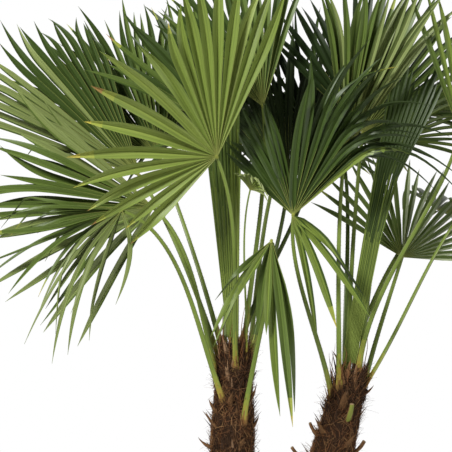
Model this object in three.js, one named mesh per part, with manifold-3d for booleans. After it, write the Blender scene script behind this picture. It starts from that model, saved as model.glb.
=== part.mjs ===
// Windmill palm with two fibrous stems that lean apart from one root crown.
// Each stem carries a head of fan fronds and one closed young frond.
// Millimetres, +Z up, the origin on the ground between the stems, -Y to the front.

import * as THREE from 'three';
import Module from 'manifold-3d';

const wasm = await Module();
wasm.setup();

// Clearances
const SEAT_GAP = 0.3;          // between a piece and what carries it
const BLADE_GAP = 2;           // kept between leaflets of different fronds

// Root crown, where both stems leave the ground
const CROWN_HEIGHT = 80;
const FOOT_RADIUS = 108;
const SADDLE_RADIUS = 84;      // low hump that fills the notch between the two feet
const SADDLE_HEIGHT = 50;
const SADDLE_TOP_RADIUS = 55;
const CROWN_SIDES = 18;
const CROWN_STATIONS = [0, 0.4, 1]; // heights of the feet's rings, as shares of the crown's height

// Stems: centre line from foot to head, given at the ground and at the top
const STEMS = {
  left: { foot: [-78, 0], head: [-51, 0], height: 966, seed: 3 },
  right: { foot: [79, 0], head: [298, -20], height: 885, seed: 8 },
};
// Radius of the fibre coat at fractions of a stem's height
const STEM_PROFILE = [[0, 84], [0.09, 73], [0.22, 64], [0.5, 62], [0.7, 64], [0.82, 56], [0.93, 48], [1, 40]];
const STEM_SIDES = 14;
const STEM_RING_STEP = 68;
const STEM_LUMP = 0.05;        // unevenness of the fibre coat, as a share of its radius

// Old leaf bases that stand out of the fibre
const BOOT_COUNT = 28;
const BOOT_WIDTH = 36;
const BOOT_LENGTH = 64;
const BOOT_STANDOFF = 30;
const BOOT_SINK = 9;
const BOOT_SHOULDER = 0.6;     // height where a boot leaves the stem, as a share of its length
const BOOT_SIZES = [0.75, 1.25];
const BOOT_RANGE = [0.13, 0.86]; // lowest and highest boot, as shares of the stem's height
const GOLDEN_TURN = 137.5;     // degrees from one boot to the next
const SEED_TURN = 20;          // degrees by which a stem's seed turns its first boot

// Stubs of old stalks. at: height and side of the stem; out and up: how far the stub runs; width across;
// tip: width at the end, against the width at the foot
const STUBS = [
  { stem: 'left', at: [654, 185], out: 38, up: 36, width: 26, tip: 0.05 },
  { stem: 'left', at: [722, 190], out: 20, up: 44, width: 30, tip: 0.05 },
  { stem: 'left', at: [762, 205], out: 22, up: 46, width: 32, tip: 0.05 },
  { stem: 'left', at: [712, 350], out: 18, up: 44, width: 34, tip: 0.05 },
  { stem: 'left', at: [790, 345], out: 16, up: 62, width: 26, tip: 0.05 },
  { stem: 'left', at: [868, 340], out: 8, up: 90, width: 24, tip: 0.05 },
  { stem: 'left', at: [845, 250], out: 4, up: 80, width: 22, tip: 0.05 },
  { stem: 'left', at: [600, 60], out: 34, up: 40, width: 30, tip: 0.05 },
  { stem: 'right', at: [612, 182], out: 48, up: 50, width: 20, tip: 0.8 },
  { stem: 'right', at: [690, 178], out: 18, up: 44, width: 26, tip: 0.55 },
  { stem: 'right', at: [636, 350], out: 36, up: 46, width: 22, tip: 0.8 },
  { stem: 'right', at: [742, 290], out: 30, up: 58, width: 24, tip: 0.6 },
  { stem: 'right', at: [800, 305], out: 6, up: 110, width: 32, tip: 0.1 },
  { stem: 'right', at: [812, 355], out: 34, up: 36, width: 26, tip: 0.05 },
  { stem: 'right', at: [590, 95], out: 36, up: 46, width: 22, tip: 0.8 },
];
const STUB_SINK = 14;
const STUB_BEND = 0.35;        // 0 straight, 1 out and then up

// Petioles: a five-sided stalk, widest at its base
const STALK_SIDES = 5;
const STALK_STEPS = 6;
const STALK_BASE_WIDTH = 20;
const STALK_TIP_WIDTH = 11;
const STALK_FLATNESS = 0.62;
const STALK_INTO_BLADE = 0.07; // how far the stalk runs on under the blade, as a share of the leaflet length
const STALK_ROOT_OUT = 3;      // stalk centre outside the fibre coat, where it leaves the stem's side
const STALK_ROOT_SINK = 12;    // depth from which a stalk rises, where it leaves the stem's top
const STALK_LEAVE = [0.8, 0.35, 0.05]; // its first direction's parts: to the hub, straight up, straight out
const STALK_LEAVE_REACH = 0.35; // how far that direction holds, as a share of the distance to the hub
const STALK_ARRIVE_ALONG = 0.9; // how much the stalk turns into the blade's own direction at the hub
const STALK_ARRIVE_REACH = 0.3;
const YOUNG_REACH = 300;       // fronds shorter than this have a slimmer stalk
const YOUNG_SLIMNESS = 0.5;

// Blades
const PALMAN = 0.2;            // undivided part of the fan, as a share of the leaflet length
const LEAFLET_PITCH = 11.5;    // degrees from leaflet to leaflet
const GAP_PITCH = 25;          // a wider step between two directions holds no leaflet
const RUN_HUB_OUT = 2;         // where a gap divides a fan, each part starts this far from the hub
const LEAFLET_WIDTH = 30;
const LEAFLET_SLIMNESS = 0.075; // widest a leaflet may be, as a share of its length
const LEAFLET_ROOM = 0.9;      // the same, as a share of the room between its neighbours
const LEAFLET_STATIONS = [[0.5, 1], [0.8, 0.66]]; // share of the length, share of the width
const SIDE_SHORTENING = 0.28;  // how much shorter a leaflet at a right angle to the aim is
const SHORTEST = 0.5;
const DEFAULT_ARCH = 0.25;
const ARCH_SPREAD = 0.6;       // share of the length over which a leaflet starts to bow
const ARCH_STEP = 0.1;
const TANGENT_STEP = 0.01;
const BLADE_THICKNESS = 0.0108; // share of the leaflet length
const PLEAT_DEPTH = 0.014;     // depth of the undivided blade's pleats, as a share of the leaflet length
const FOLD_DEPTH = 0.133;      // depth of a leaflet's fold, as a share of its width
const PROBE_REACH = 1.005;     // a leaflet is tried out a little longer than it is made

// Closed young fronds
const SPEAR_OPEN_FROM = 0.55;  // share of the length
const SPEAR_STATIONS = [[0, 1], [SPEAR_OPEN_FROM, 1], [0.85, 1], [1, 0.45]]; // shares of length and width
const SPEAR_PLEAT_DEPTH = 8;
const SPEAR_SINK = 24;         // how far below its hub a young frond starts

// Fronds, each one row of settings. from: height on the stem, side of the stem in degrees from +X towards
// the back, and distance from the stem's centre line where it rises from the stem's top.
// hub: where blade and stalk meet. leave: the stalk's own first direction.
// aim: direction of the blade's middle seen from the front, from +X upwards, and its lean to the front.
// face: where the upper side looks, 0 to the front, 90 up, 180 to the back.
// reach: leaflet length. span: opening angle of the fan. folds: number of leaflets.
// spread: directions from the aim at shares of the leaflet count, where they aren't even.
// lengths: shares of the reach at such shares. arch: how far the leaflets bow down, also at such shares.
// cup: how far the leaflets rise out of the fan's plane.
const FRONDS = [
  { name: 'left_front', stem: 'left', from: [900, 275], hub: [-104, -170, 1522],
    aim: [135, 14], face: 5, reach: 500, spread: [[0, -70], [0.5, -16], [0.72, 43], [1, 92]],
    lengths: [[0, 1.2], [0.3, 1.12], [0.42, 0.97], [0.72, 0.94], [1, 0.76]], cup: 0.08, droop: 0.03,
    arch: 0.12 },
  { name: 'left_low_side', stem: 'left', from: [805, 238], hub: [-386, -60, 1370],
    aim: [212, 8], face: 30, reach: 500, folds: 10,
    spread: [[0, -40], [0.45, -8], [0.8, 50], [0.9, 76], [1, 84]],
    lengths: [[0, 0.9], [0.2, 1], [0.8, 1], [1, 0.75]], cup: 0.08, droop: 0.08, arch: 0.35 },
  { name: 'left_low_back', stem: 'left', from: [880, 195], hub: [-299, 60, 1380],
    aim: [172, -8], face: 20, reach: 610, spread: [[0, -36], [0.8, 22], [1, 76]], cup: 0.1, droop: 0.03,
    arch: 0.1 },
  { name: 'left_wide', stem: 'left', from: [925, 165], hub: [-345, 160, 1478],
    aim: [134, -8], face: 20, reach: 670, span: 56, folds: 8, lengths: [[0, 0.84], [0.45, 1], [1, 1]],
    cup: 0.05, droop: 0.02, arch: 0.03 },
  { name: 'left_rear', stem: 'left', from: [930, 136], hub: [-285, 270, 1530],
    aim: [114, -12], face: 20, reach: 600, span: 90, folds: 10, cup: 0.05, droop: 0.02, arch: 0.03 },
  { name: 'left_upright', stem: 'left', from: [966, 110, 28], hub: [-81, 130, 1621],
    aim: [112, -14], face: 20, reach: 520, span: 90, folds: 10, cup: 0.05, droop: 0.03, arch: 0.05 },
  { name: 'left_high', stem: 'left', from: [966, 20, 28], hub: [34, 40, 1685],
    aim: [108, -4], face: 20, reach: 480, span: 72, folds: 9, cup: 0.08, droop: 0.04, arch: 0.1 },
  { name: 'left_inner', stem: 'left', from: [915, 20], hub: [113, 130, 1455],
    aim: [92, -15], face: 150, reach: 640, span: 96, folds: 12, cup: 0.1, droop: 0.05, arch: 0.1 },
  { name: 'left_hanging', stem: 'left', from: [742, 300], hub: [53, -170, 1280],
    aim: [255, 12], face: 30, reach: 520, spread: [[0, -34], [0.42, -8], [0.5, 6], [1, 30]],
    lengths: [[0, 0.8], [0.5, 0.9], [0.6, 1], [1, 1]], cup: 0.05, droop: 0.05, arch: 0.9 },
  { name: 'left_young', stem: 'left', from: [930, 315], hub: [-7, -80, 1430],
    aim: [60, 20], face: 30, reach: 110, span: 120, folds: 7, cup: 0.2, droop: 0.2, arch: 0.1 },
  { name: 'left_back_out', stem: 'left', from: [860, 120], hub: [-110, 360, 1620],
    aim: [165, -50], face: 60, reach: 460, span: 190, cup: 0.1, droop: 0.15 },
  { name: 'left_back_mid', stem: 'left', from: [880, 85], hub: [-30, 380, 1600],
    aim: [80, -60], face: 60, reach: 500, span: 200, cup: 0.1, droop: 0.15 },
  { name: 'left_back_in', stem: 'left', from: [850, 50], hub: [120, 320, 1580],
    aim: [30, -50], face: 60, reach: 440, span: 180, cup: 0.1, droop: 0.15 },
  { name: 'right_front', stem: 'right', from: [820, 205], hub: [118, -110, 1355],
    aim: [62, 6], face: 25, reach: 600, folds: 11,
    spread: [[0, -145], [0.2727, -80], [0.3636, -22], [0.7273, 10], [0.8182, 44], [1, 66]],
    lengths: [[0, 0.6], [0.2727, 0.64], [0.3636, 1], [0.7273, 1], [0.8182, 0.62], [1, 0.6]],
    cup: 0.06, droop: 0.03,
    arch: [[0, 0.6], [0.2727, 0.6], [0.3636, 0.9], [0.7273, 0.5], [0.8182, 0.15], [1, 0.15]] },
  { name: 'right_upright', stem: 'right', from: [842, 232], hub: [276, -50, 1549],
    aim: [76, 8], face: 10, reach: 580, span: 44, folds: 7, cup: 0.05, droop: 0.03, arch: 0.1 },
  { name: 'right_rear', stem: 'right', from: [885, 110, 26], hub: [340, 90, 1607],
    aim: [80, -10], face: 10, reach: 540, span: 110, folds: 12, cup: 0.05, droop: 0.05, arch: 0.1 },
  { name: 'right_low_side', stem: 'right', from: [830, 20], hub: [468, 150, 1227],
    aim: [68, -15], face: 20, reach: 370, span: 165, cup: 0.05, droop: 0, arch: 0.03 },
  { name: 'right_high', stem: 'right', from: [885, 320, 26], hub: [612, -80, 1598], leave: [0.2, 0.9, 0],
    aim: [88, 8], face: 10, reach: 500, span: 50, folds: 6, cup: 0.08, droop: 0.05, arch: 0.12 },
  { name: 'right_inner', stem: 'right', from: [885, 30, 26], hub: [454, 220, 1594],
    aim: [60, -25], face: 20, reach: 370, span: 160, cup: 0.08, droop: 0.06, arch: 0.3 },
  { name: 'right_wide', stem: 'right', from: [850, 350], hub: [740, -20, 1480], leave: [0.95, 0.05, 0.05],
    aim: [10, 15], face: 60, reach: 430, span: 190, cup: 0.08, droop: 0.15 },
  { name: 'right_back_out', stem: 'right', from: [850, 70], hub: [450, 370, 1690],
    aim: [50, -60], face: 60, reach: 480, span: 200, cup: 0.1, droop: 0.12 },
  { name: 'right_back_in', stem: 'right', from: [850, 100], hub: [300, 350, 1560],
    aim: [110, -50], face: 60, reach: 460, span: 180, cup: 0.1, droop: 0.1 },
  { name: 'right_back_wide', stem: 'right', from: [800, 110], hub: [600, 330, 1375],
    aim: [350, -40], face: 65, reach: 430, span: 150, cup: 0.1, droop: 0.15 },
  { name: 'left_top', stem: 'left', from: [966, 60, 28], hub: [200, 260, 1600],
    aim: [116, -12], face: 20, reach: 520, span: 110, folds: 10, cup: 0.05, droop: 0.06, arch: 0.1 },
];

// Closed young fronds: a pleated strip that has hardly opened. foot: its width at the hub
// opening: how much faster it widens to the right where it begins to open
const SPEARS = [
  { name: 'left_spear', hub: [-58, -20, 985], aim: [93, 2], face: 0, reach: 905, span: 6.6, foot: 31,
    opening: 0, folds: 5 },
  { name: 'right_spear', hub: [286, -24, 905], aim: [79.5, 1], face: 0, reach: 960, span: 1.6, foot: 40,
    opening: 10, folds: 5 },
];

const FIBRE_LOOK = { color: 0x4a3222, roughness: 0.95 };
const LEAF_LOOK = { color: 0x55782f, roughness: 0.55 };
const SPEAR_LOOK = { color: 0x6d8c3d, roughness: 0.55 };

const UP = new THREE.Vector3(0, 0, 1);
const radians = THREE.MathUtils.degToRad;

// Even, repeatable scatter between 0 and 1
function scatter(index, seed) {
  const value = Math.sin(index * 12.9898 + seed * 78.233) * 43758.5453;
  return value - Math.floor(value);
}

// Value at a share, from knots of share and value
function interpolate(knots, share) {
  const upper = Math.max(1, knots.findIndex(([at]) => at >= share));
  const [t0, v0] = knots[upper - 1];
  const [t1, v1] = knots[upper];
  return THREE.MathUtils.lerp(v0, v1, (share - t0) / (t1 - t0));
}

// Closed solid from corner points and triangles, turned so that its faces point out
function makeSolid(points, triangles) {
  let volume = 0;
  for (const [i, j, k] of triangles) {
    volume += points[i].dot(points[j].clone().cross(points[k]));
  }
  const outward = volume > 0 ? triangles : triangles.map(([i, j, k]) => [i, k, j]);
  return new wasm.Manifold(new wasm.Mesh({
    numProp: 3,
    vertProperties: new Float32Array(points.flatMap((p) => [p.x, p.y, p.z])),
    triVerts: new Uint32Array(outward.flat()),
  }));
}

// Triangles across a flat ring, from its first half to its second
function capTriangles(first, sides) {
  const triangles = [];
  for (let s = 0; s < Math.floor((sides - 1) / 2); s += 1) {
    const [a, b, c, d] = [s, s + 1, sides - 2 - s, sides - 1 - s].map((corner) => first + corner);
    triangles.push([a, c, d]);
    if (b !== c) {
      triangles.push([a, b, c]);
    }
  }
  return triangles;
}

// Skin through rings of equal size, closed by flat caps, or by a point where one is given
function loft(rings, apex) {
  const points = rings.flat();
  const sides = rings[0].length;
  const triangles = [];
  for (let r = 0; r < rings.length - 1; r += 1) {
    for (let s = 0; s < sides; s += 1) {
      const low = r * sides + s;
      const lowNext = r * sides + ((s + 1) % sides);
      triangles.push([low, lowNext, lowNext + sides], [low, lowNext + sides, low + sides]);
    }
  }
  triangles.push(...capTriangles(0, sides).map(([a, b, c]) => [a, c, b]));
  const last = (rings.length - 1) * sides;
  if (apex) {
    points.push(apex);
    for (let s = 0; s < sides; s += 1) {
      triangles.push([last + s, last + ((s + 1) % sides), points.length - 1]);
    }
  } else {
    triangles.push(...capTriangles(last, sides));
  }
  return makeSolid(points, triangles);
}

// Stems

function stemCentre(stem, height) {
  const t = height / stem.height;
  const x = THREE.MathUtils.lerp(stem.foot[0], stem.head[0], t);
  const y = THREE.MathUtils.lerp(stem.foot[1], stem.head[1], t);
  return new THREE.Vector3(x, y, height);
}

function stemRadius(stem, height) {
  return interpolate(STEM_PROFILE, Math.min(height / stem.height, 1));
}

function around(angle) {
  return new THREE.Vector3(Math.cos(angle), Math.sin(angle), 0);
}

function stemCoat(stem, grow) {
  const bottom = CROWN_HEIGHT + SEAT_GAP - grow;
  const top = stem.height + grow;
  const count = Math.round((top - bottom) / STEM_RING_STEP);
  const rings = [];
  for (let r = 0; r <= count; r += 1) {
    const height = THREE.MathUtils.lerp(bottom, top, r / count);
    const ring = [];
    for (let s = 0; s < STEM_SIDES; s += 1) {
      const lump = r === 0 ? 0 : (scatter(r * STEM_SIDES + s, stem.seed) - 0.5) * 2 * STEM_LUMP;
      const radius = stemRadius(stem, height) * (1 + lump) + grow;
      const angle = (s / STEM_SIDES) * 2 * Math.PI;
      ring.push(stemCentre(stem, height).addScaledVector(around(angle), radius));
    }
    rings.push(ring);
  }
  return loft(rings);
}

// One old leaf base: a three-sided shingle whose point stands off the stem
function boot(stem, height, angle, size, grow) {
  const radius = stemRadius(stem, height);
  const out = around(angle);
  const side = around(angle + Math.PI / 2);
  const foot = stemCentre(stem, height).addScaledVector(out, radius - BOOT_SINK);
  const halfWidth = (BOOT_WIDTH / 2) * size + grow;
  const length = BOOT_LENGTH * size + grow;
  const points = [
    foot.clone().addScaledVector(side, -halfWidth).addScaledVector(UP, -grow),
    foot.clone().addScaledVector(side, halfWidth).addScaledVector(UP, -grow),
    foot.clone().addScaledVector(UP, length * BOOT_SHOULDER),
    foot.clone().addScaledVector(UP, length).addScaledVector(out, (BOOT_SINK + BOOT_STANDOFF) * size + grow),
  ];
  return makeSolid(points, [[0, 2, 1], [0, 1, 3], [1, 2, 3], [2, 0, 3]]);
}

// A stub that runs outward and upward
function stub({ stem: name, at, out: outward, up, width, tip }, grow) {
  const stem = STEMS[name];
  const [height, side] = at;
  const out = around(radians(side));
  const start = stemCentre(stem, height).addScaledVector(out, stemRadius(stem, height) - STUB_SINK);
  const corner = start.clone().addScaledVector(out, STUB_SINK + outward);
  const end = corner.clone().addScaledVector(UP, up);
  const middle = start.clone().lerp(end, 0.5).lerp(corner, STUB_BEND);
  const curve = new THREE.QuadraticBezierCurve3(start, middle, end);
  return loft([0, 0.5, 1].map((t) => {
    const inner = UP.clone().addScaledVector(out, -1);
    const across = width * THREE.MathUtils.lerp(1, tip, t) + grow;
    return stalkRing(curve.getPoint(t), curve.getTangent(t), inner, across);
  }));
}

function stemSolid(name, grow) {
  const stem = STEMS[name];
  let solid = stemCoat(stem, grow);
  for (let b = 0; b < BOOT_COUNT; b += 1) {
    const height = THREE.MathUtils.lerp(...BOOT_RANGE, b / (BOOT_COUNT - 1)) * stem.height;
    const angle = radians(b * GOLDEN_TURN + stem.seed * SEED_TURN);
    const size = THREE.MathUtils.lerp(...BOOT_SIZES, scatter(b, stem.seed));
    solid = solid.add(boot(stem, height, angle, size, grow));
  }
  for (const cut of STUBS.filter((row) => row.stem === name)) {
    solid = solid.add(stub(cut, grow * 2));
  }
  return solid;
}

function circle(centre, radius) {
  return Array.from({ length: CROWN_SIDES }, (_, s) => (
    centre.clone().addScaledVector(around((s / CROWN_SIDES) * 2 * Math.PI), radius)
  ));
}

// Two flared feet and the hump between them, all cut flat at the ground
function rootCrown() {
  const feet = Object.values(STEMS).map((stem) => loft(CROWN_STATIONS.map((t) => {
    const height = t * CROWN_HEIGHT;
    const radius = THREE.MathUtils.lerp(FOOT_RADIUS, stemRadius(stem, CROWN_HEIGHT), Math.sqrt(t));
    return circle(stemCentre(stem, height), radius);
  })));
  const middle = stemCentre(STEMS.left, 0).lerp(stemCentre(STEMS.right, 0), 0.5);
  const hump = middle.clone().addScaledVector(UP, SADDLE_HEIGHT);
  const saddle = loft([circle(middle, SADDLE_RADIUS), circle(hump, SADDLE_TOP_RADIUS)]);
  return feet[0].add(feet[1]).add(saddle);
}

// Fronds

function frondFrame(frond) {
  const [turn, lean] = frond.aim.map(radians);
  const along = new THREE.Vector3(
    Math.cos(lean) * Math.cos(turn), -Math.sin(lean), Math.cos(lean) * Math.sin(turn));
  const face = radians(frond.face);
  const normal = new THREE.Vector3(0, -Math.cos(face), Math.sin(face));
  normal.addScaledVector(along, -normal.dot(along)).normalize();
  const across = new THREE.Vector3().crossVectors(normal, along);
  return { hub: new THREE.Vector3(...frond.hub), along, across, normal };
}

// Direction from the aim, length and bow at a share of the leaflet count
function ray(frond, share) {
  const angle = radians(frond.spread ? interpolate(frond.spread, share) : frond.span * (share - 0.5));
  const shortened = Math.max(1 - SIDE_SHORTENING * (angle / (Math.PI / 2)) ** 2, SHORTEST);
  const even = frond.lengths ? interpolate(frond.lengths, share) : shortened;
  const arch = frond.arch ?? DEFAULT_ARCH;
  return { angle, length: frond.reach * even, bow: Array.isArray(arch) ? interpolate(arch, share) : arch };
}

// Folds of a fan in runs, divided where a step between two directions is a gap
function fanRuns(frond) {
  const total = frond.spread ? frond.spread.at(-1)[1] - frond.spread[0][1] : frond.span;
  const count = frond.folds ?? Math.round(total / LEAFLET_PITCH);
  const runs = [[]];
  for (let i = 0; i < count; i += 1) {
    const [left, middle, right] = [i, i + 0.5, i + 1].map((place) => ray(frond, place / count));
    const pitch = right.angle - left.angle;
    if (pitch > radians(GAP_PITCH)) {
      runs.push([]);
    } else {
      const room = middle.length * LEAFLET_STATIONS[0][0] * pitch * LEAFLET_ROOM;
      const width = Math.min(LEAFLET_WIDTH, frond.reach * LEAFLET_SLIMNESS, room);
      runs.at(-1).push({ left, middle, right, pitch, width });
    }
  }
  return runs.filter((run) => run.length > 0);
}

function smooth(share) {
  return THREE.MathUtils.smoothstep(share, 0, 1);
}

// Direction of a leaflet that leaves the hub at an angle to the blade's middle
function leafletDirection(frond, frame, angle, lift) {
  return new THREE.Vector3()
    .addScaledVector(frame.along, Math.cos(angle))
    .addScaledVector(frame.across, Math.sin(angle))
    .addScaledVector(frame.normal, frond.cup + lift)
    .normalize();
}

// Point on a leaflet's midrib: straight out of the hub, then bowing down under its own weight
function leafletPoint(frond, frame, { angle, length, bow }, share, bend) {
  const heading = leafletDirection(frond, frame, angle, bend.lift);
  const point = frame.hub.clone();
  for (let done = 0; done < share; done += ARCH_STEP) {
    const step = Math.min(ARCH_STEP, share - done);
    const weight = bow * smooth((done + step / 2 - PALMAN) / ARCH_SPREAD);
    const turned = heading.clone().addScaledVector(UP, -weight).normalize();
    point.addScaledVector(turned, length * bend.trim * step);
  }
  return point.addScaledVector(UP, -length * bend.trim * frond.droop * share ** 3);
}

// The four corners of a leaflet's folded cross-section
function leafletSection(frond, frame, fold, share, width, bend, grow) {
  const centre = leafletPoint(frond, frame, fold.middle, share, bend);
  const ahead = leafletPoint(frond, frame, fold.middle, share + TANGENT_STEP, bend);
  const tangent = ahead.sub(centre).normalize();
  const side = new THREE.Vector3().crossVectors(frame.normal, tangent).normalize();
  const normal = new THREE.Vector3().crossVectors(tangent, side);
  const thickness = fold.middle.length * BLADE_THICKNESS;
  const depth = fold.width * FOLD_DEPTH;
  const edge = centre.clone().addScaledVector(normal, depth / 2);
  return [
    edge.clone().addScaledVector(side, -width / 2 - grow),
    centre.clone().addScaledVector(normal, grow - depth / 2),
    edge.clone().addScaledVector(side, width / 2 + grow),
    centre.clone().addScaledVector(normal, -depth / 2 - thickness - grow),
  ];
}

function leafletProbe(frond, frame, fold, bend) {
  const rootWidth = fold.middle.length * PALMAN * fold.pitch;
  const rootGrowth = BLADE_GAP + frond.reach * PLEAT_DEPTH / 2;
  const root = leafletSection(frond, frame, fold, PALMAN, rootWidth, UNBENT, rootGrowth);
  const rings = LEAFLET_STATIONS.map(([share, wide]) => (
    leafletSection(frond, frame, fold, share, fold.width * wide, bend, BLADE_GAP)
  ));
  return loft([root, ...rings], leafletPoint(frond, frame, fold.middle, PROBE_REACH, bend));
}

// One run of a pleated fan as a closed mesh. bends holds one entry for each leaflet, or null where one is
// left out. hubOut: how far from the hub it starts
function runSolid(frond, frame, run, bends, hubOut) {
  const thickness = frond.reach * BLADE_THICKNESS;
  const pleat = frond.reach * PLEAT_DEPTH;
  const points = [];
  const triangles = [];
  const put = (point) => points.push(point) - 1;
  const drop = (point, depth) => point.clone().addScaledVector(frame.normal, -depth);
  const middle = (run[0].left.angle + run.at(-1).right.angle) / 2;
  const hub = frame.hub.clone().addScaledVector(leafletDirection(frond, frame, middle, 0), hubOut);
  const hubTop = put(hub);
  const hubBottom = put(drop(hub, thickness));
  const ridge = (side) => {
    const point = drop(leafletPoint(frond, frame, side, PALMAN, UNBENT), -pleat / 2);
    return { top: put(point), bottom: put(drop(point, thickness)) };
  };
  let left = ridge(run[0].left);
  triangles.push([hubTop, hubBottom, left.bottom], [hubTop, left.bottom, left.top]);
  run.forEach((fold, i) => {
    const right = ridge(fold.right);
    const valley = drop(leafletPoint(frond, frame, fold.middle, PALMAN, UNBENT), pleat / 2);
    const valleyTop = put(valley);
    const valleyBottom = put(drop(valley, thickness));
    triangles.push(
      [hubTop, left.top, valleyTop], [hubTop, valleyTop, right.top],
      [hubBottom, valleyBottom, left.bottom], [hubBottom, right.bottom, valleyBottom]);
    if (bends[i]) {
      addLeaflet(frond, frame, fold, bends[i], { left, right, valleyTop, valleyBottom }, put, triangles);
    } else {
      triangles.push(
        [left.top, left.bottom, valleyBottom], [left.top, valleyBottom, valleyTop],
        [valleyTop, valleyBottom, right.bottom], [valleyTop, right.bottom, right.top]);
    }
    left = right;
  });
  triangles.push([hubTop, left.bottom, hubBottom], [hubTop, left.top, left.bottom]);
  return makeSolid(points, triangles);
}

// All runs of a fan. choose: gives a leaflet's bend
function fanSolid(frond, frame, choose) {
  const runs = fanRuns(frond);
  const hubOut = runs.length > 1 ? RUN_HUB_OUT : 0;
  return runs
    .map((run) => runSolid(frond, frame, run, run.map(choose), hubOut))
    .reduce((whole, solid) => whole.add(solid));
}

function addLeaflet(frond, frame, fold, bend, root, put, triangles) {
  const { left, right, valleyTop, valleyBottom } = root;
  const sections = LEAFLET_STATIONS.map(([share, wide]) => (
    leafletSection(frond, frame, fold, share, fold.width * wide, bend, 0).map(put)
  ));
  const [l, m, r, k] = sections[0];
  triangles.push(
    [left.top, l, m], [left.top, m, valleyTop], [valleyTop, m, r], [valleyTop, r, right.top],
    [left.bottom, k, l], [left.bottom, valleyBottom, k],
    [valleyBottom, r, k], [valleyBottom, right.bottom, r],
    [left.top, left.bottom, l], [right.top, r, right.bottom]);
  for (let s = 0; s < sections.length - 1; s += 1) {
    for (let c = 0; c < 4; c += 1) {
      const next = (c + 1) % 4;
      const [a, b] = [sections[s][c], sections[s][next]];
      const [d, e] = [sections[s + 1][c], sections[s + 1][next]];
      triangles.push([a, d, e], [a, e, b]);
    }
  }
  const end = sections[sections.length - 1];
  const tip = put(leafletPoint(frond, frame, fold.middle, 1, bend));
  for (let c = 0; c < 4; c += 1) {
    triangles.push([end[c], tip, end[(c + 1) % 4]]);
  }
}

// A closed young frond: the strip's ridges and valleys on its upper side, and the same below
function spearSolid(spear) {
  const frame = frondFrame(spear);
  const thickness = spear.reach * BLADE_THICKNESS;
  const stations = [[-SPEAR_SINK / spear.reach, 1], ...SPEAR_STATIONS];
  return loft(stations.map(([share, wide]) => {
    const run = spear.reach * share;
    const centre = frame.hub.clone().addScaledVector(frame.along, run);
    const turn = radians(spear.span / 2);
    const opened = spear.opening * Math.max(share - SPEAR_OPEN_FROM, 0) * spear.reach;
    centre.addScaledVector(frame.across, -opened * Math.sin(turn));
    const half = wide * (spear.foot / 2 + (run + opened) * Math.tan(turn));
    const upper = Array.from({ length: spear.folds * 2 + 1 }, (_, i) => (
      centre.clone()
        .addScaledVector(frame.across, half * (i / spear.folds - 1))
        .addScaledVector(frame.normal, (i % 2 === 0 ? 0.5 : -0.5) * SPEAR_PLEAT_DEPTH)
    ));
    const lower = upper.map((point) => point.clone().addScaledVector(frame.normal, -thickness));
    return [...upper, ...lower.reverse()];
  }));
}

// Centre line of the stalk from the stem to the hub
function stalkCurve(frond, frame) {
  const stem = STEMS[frond.stem];
  const [height, side, distance] = frond.from;
  const out = around(radians(side));
  const radius = distance ?? stemRadius(stem, height) + STALK_ROOT_OUT;
  const sink = distance === undefined ? 0 : STALK_ROOT_SINK;
  const start = stemCentre(stem, height - sink).addScaledVector(out, radius);
  const span = frame.hub.clone().sub(start);
  const length = span.length();
  const heading = span.clone().normalize();
  const [ahead, up, outward] = frond.leave ?? STALK_LEAVE;
  const leave = heading.clone().multiplyScalar(ahead)
    .addScaledVector(UP, up)
    .addScaledVector(out, outward)
    .normalize();
  const arrive = heading.clone().addScaledVector(frame.along, STALK_ARRIVE_ALONG).normalize();
  const end = frame.hub.clone().addScaledVector(frame.normal, -frond.reach * BLADE_THICKNESS);
  return new THREE.CubicBezierCurve3(
    start,
    start.clone().addScaledVector(leave, length * STALK_LEAVE_REACH),
    end.clone().addScaledVector(arrive, -length * STALK_ARRIVE_REACH),
    end,
  );
}

function stalkSolid(frond, frame) {
  const curve = stalkCurve(frond, frame);
  const slim = frond.reach < YOUNG_REACH ? YOUNG_SLIMNESS : 1;
  const rings = [];
  for (let s = 0; s <= STALK_STEPS; s += 1) {
    const t = s / STALK_STEPS;
    const width = slim * THREE.MathUtils.lerp(STALK_BASE_WIDTH, STALK_TIP_WIDTH, Math.sqrt(t));
    rings.push(stalkRing(curve.getPoint(t), curve.getTangent(t), frame.normal, width));
  }
  const under = frame.along.clone().add(curve.getTangent(1)).multiplyScalar(frond.reach * STALK_INTO_BLADE / 2);
  return loft(rings, curve.getPoint(1).add(under));
}

function stalkRing(centre, tangent, upper, width) {
  const side = new THREE.Vector3().crossVectors(upper, tangent).normalize();
  const normal = new THREE.Vector3().crossVectors(tangent, side);
  return Array.from({ length: STALK_SIDES }, (_, s) => {
    const angle = (s / STALK_SIDES) * 2 * Math.PI + Math.PI / 2;
    return centre.clone()
      .addScaledVector(side, (Math.cos(angle) * width) / 2)
      .addScaledVector(normal, (Math.sin(angle) * width * STALK_FLATNESS) / 2);
  });
}

function touches(a, b) {
  for (let axis = 0; axis < 3; axis += 1) {
    if (a.box.max[axis] < b.box.min[axis] || b.box.max[axis] < a.box.min[axis]) {
      return false;
    }
  }
  return !a.solid.intersect(b.solid).isEmpty();
}

function boxed(solid, owner) {
  return { solid, owner, box: solid.boundingBox() };
}

// The largest body of a solid that a cut may have divided
function largest(solid) {
  return solid.decompose().reduce((best, body) => (body.volume() > best.volume() ? body : best));
}

// Ways a leaflet may give way to the fronds round it, the least first
const UNBENT = { lift: 0, trim: 1 };
const BENDS = [
  { trim: 1, lifts: [0, 0.05, -0.05, 0.1, -0.1, 0.16, -0.16, 0.24, -0.24] },
  { trim: 0.75, lifts: [0, 0.08, -0.08, 0.16, -0.16] },
  { trim: 0.5, lifts: [0, 0.1, -0.1] },
].flatMap(({ trim, lifts }) => lifts.map((lift) => ({ lift, trim })));

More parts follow.
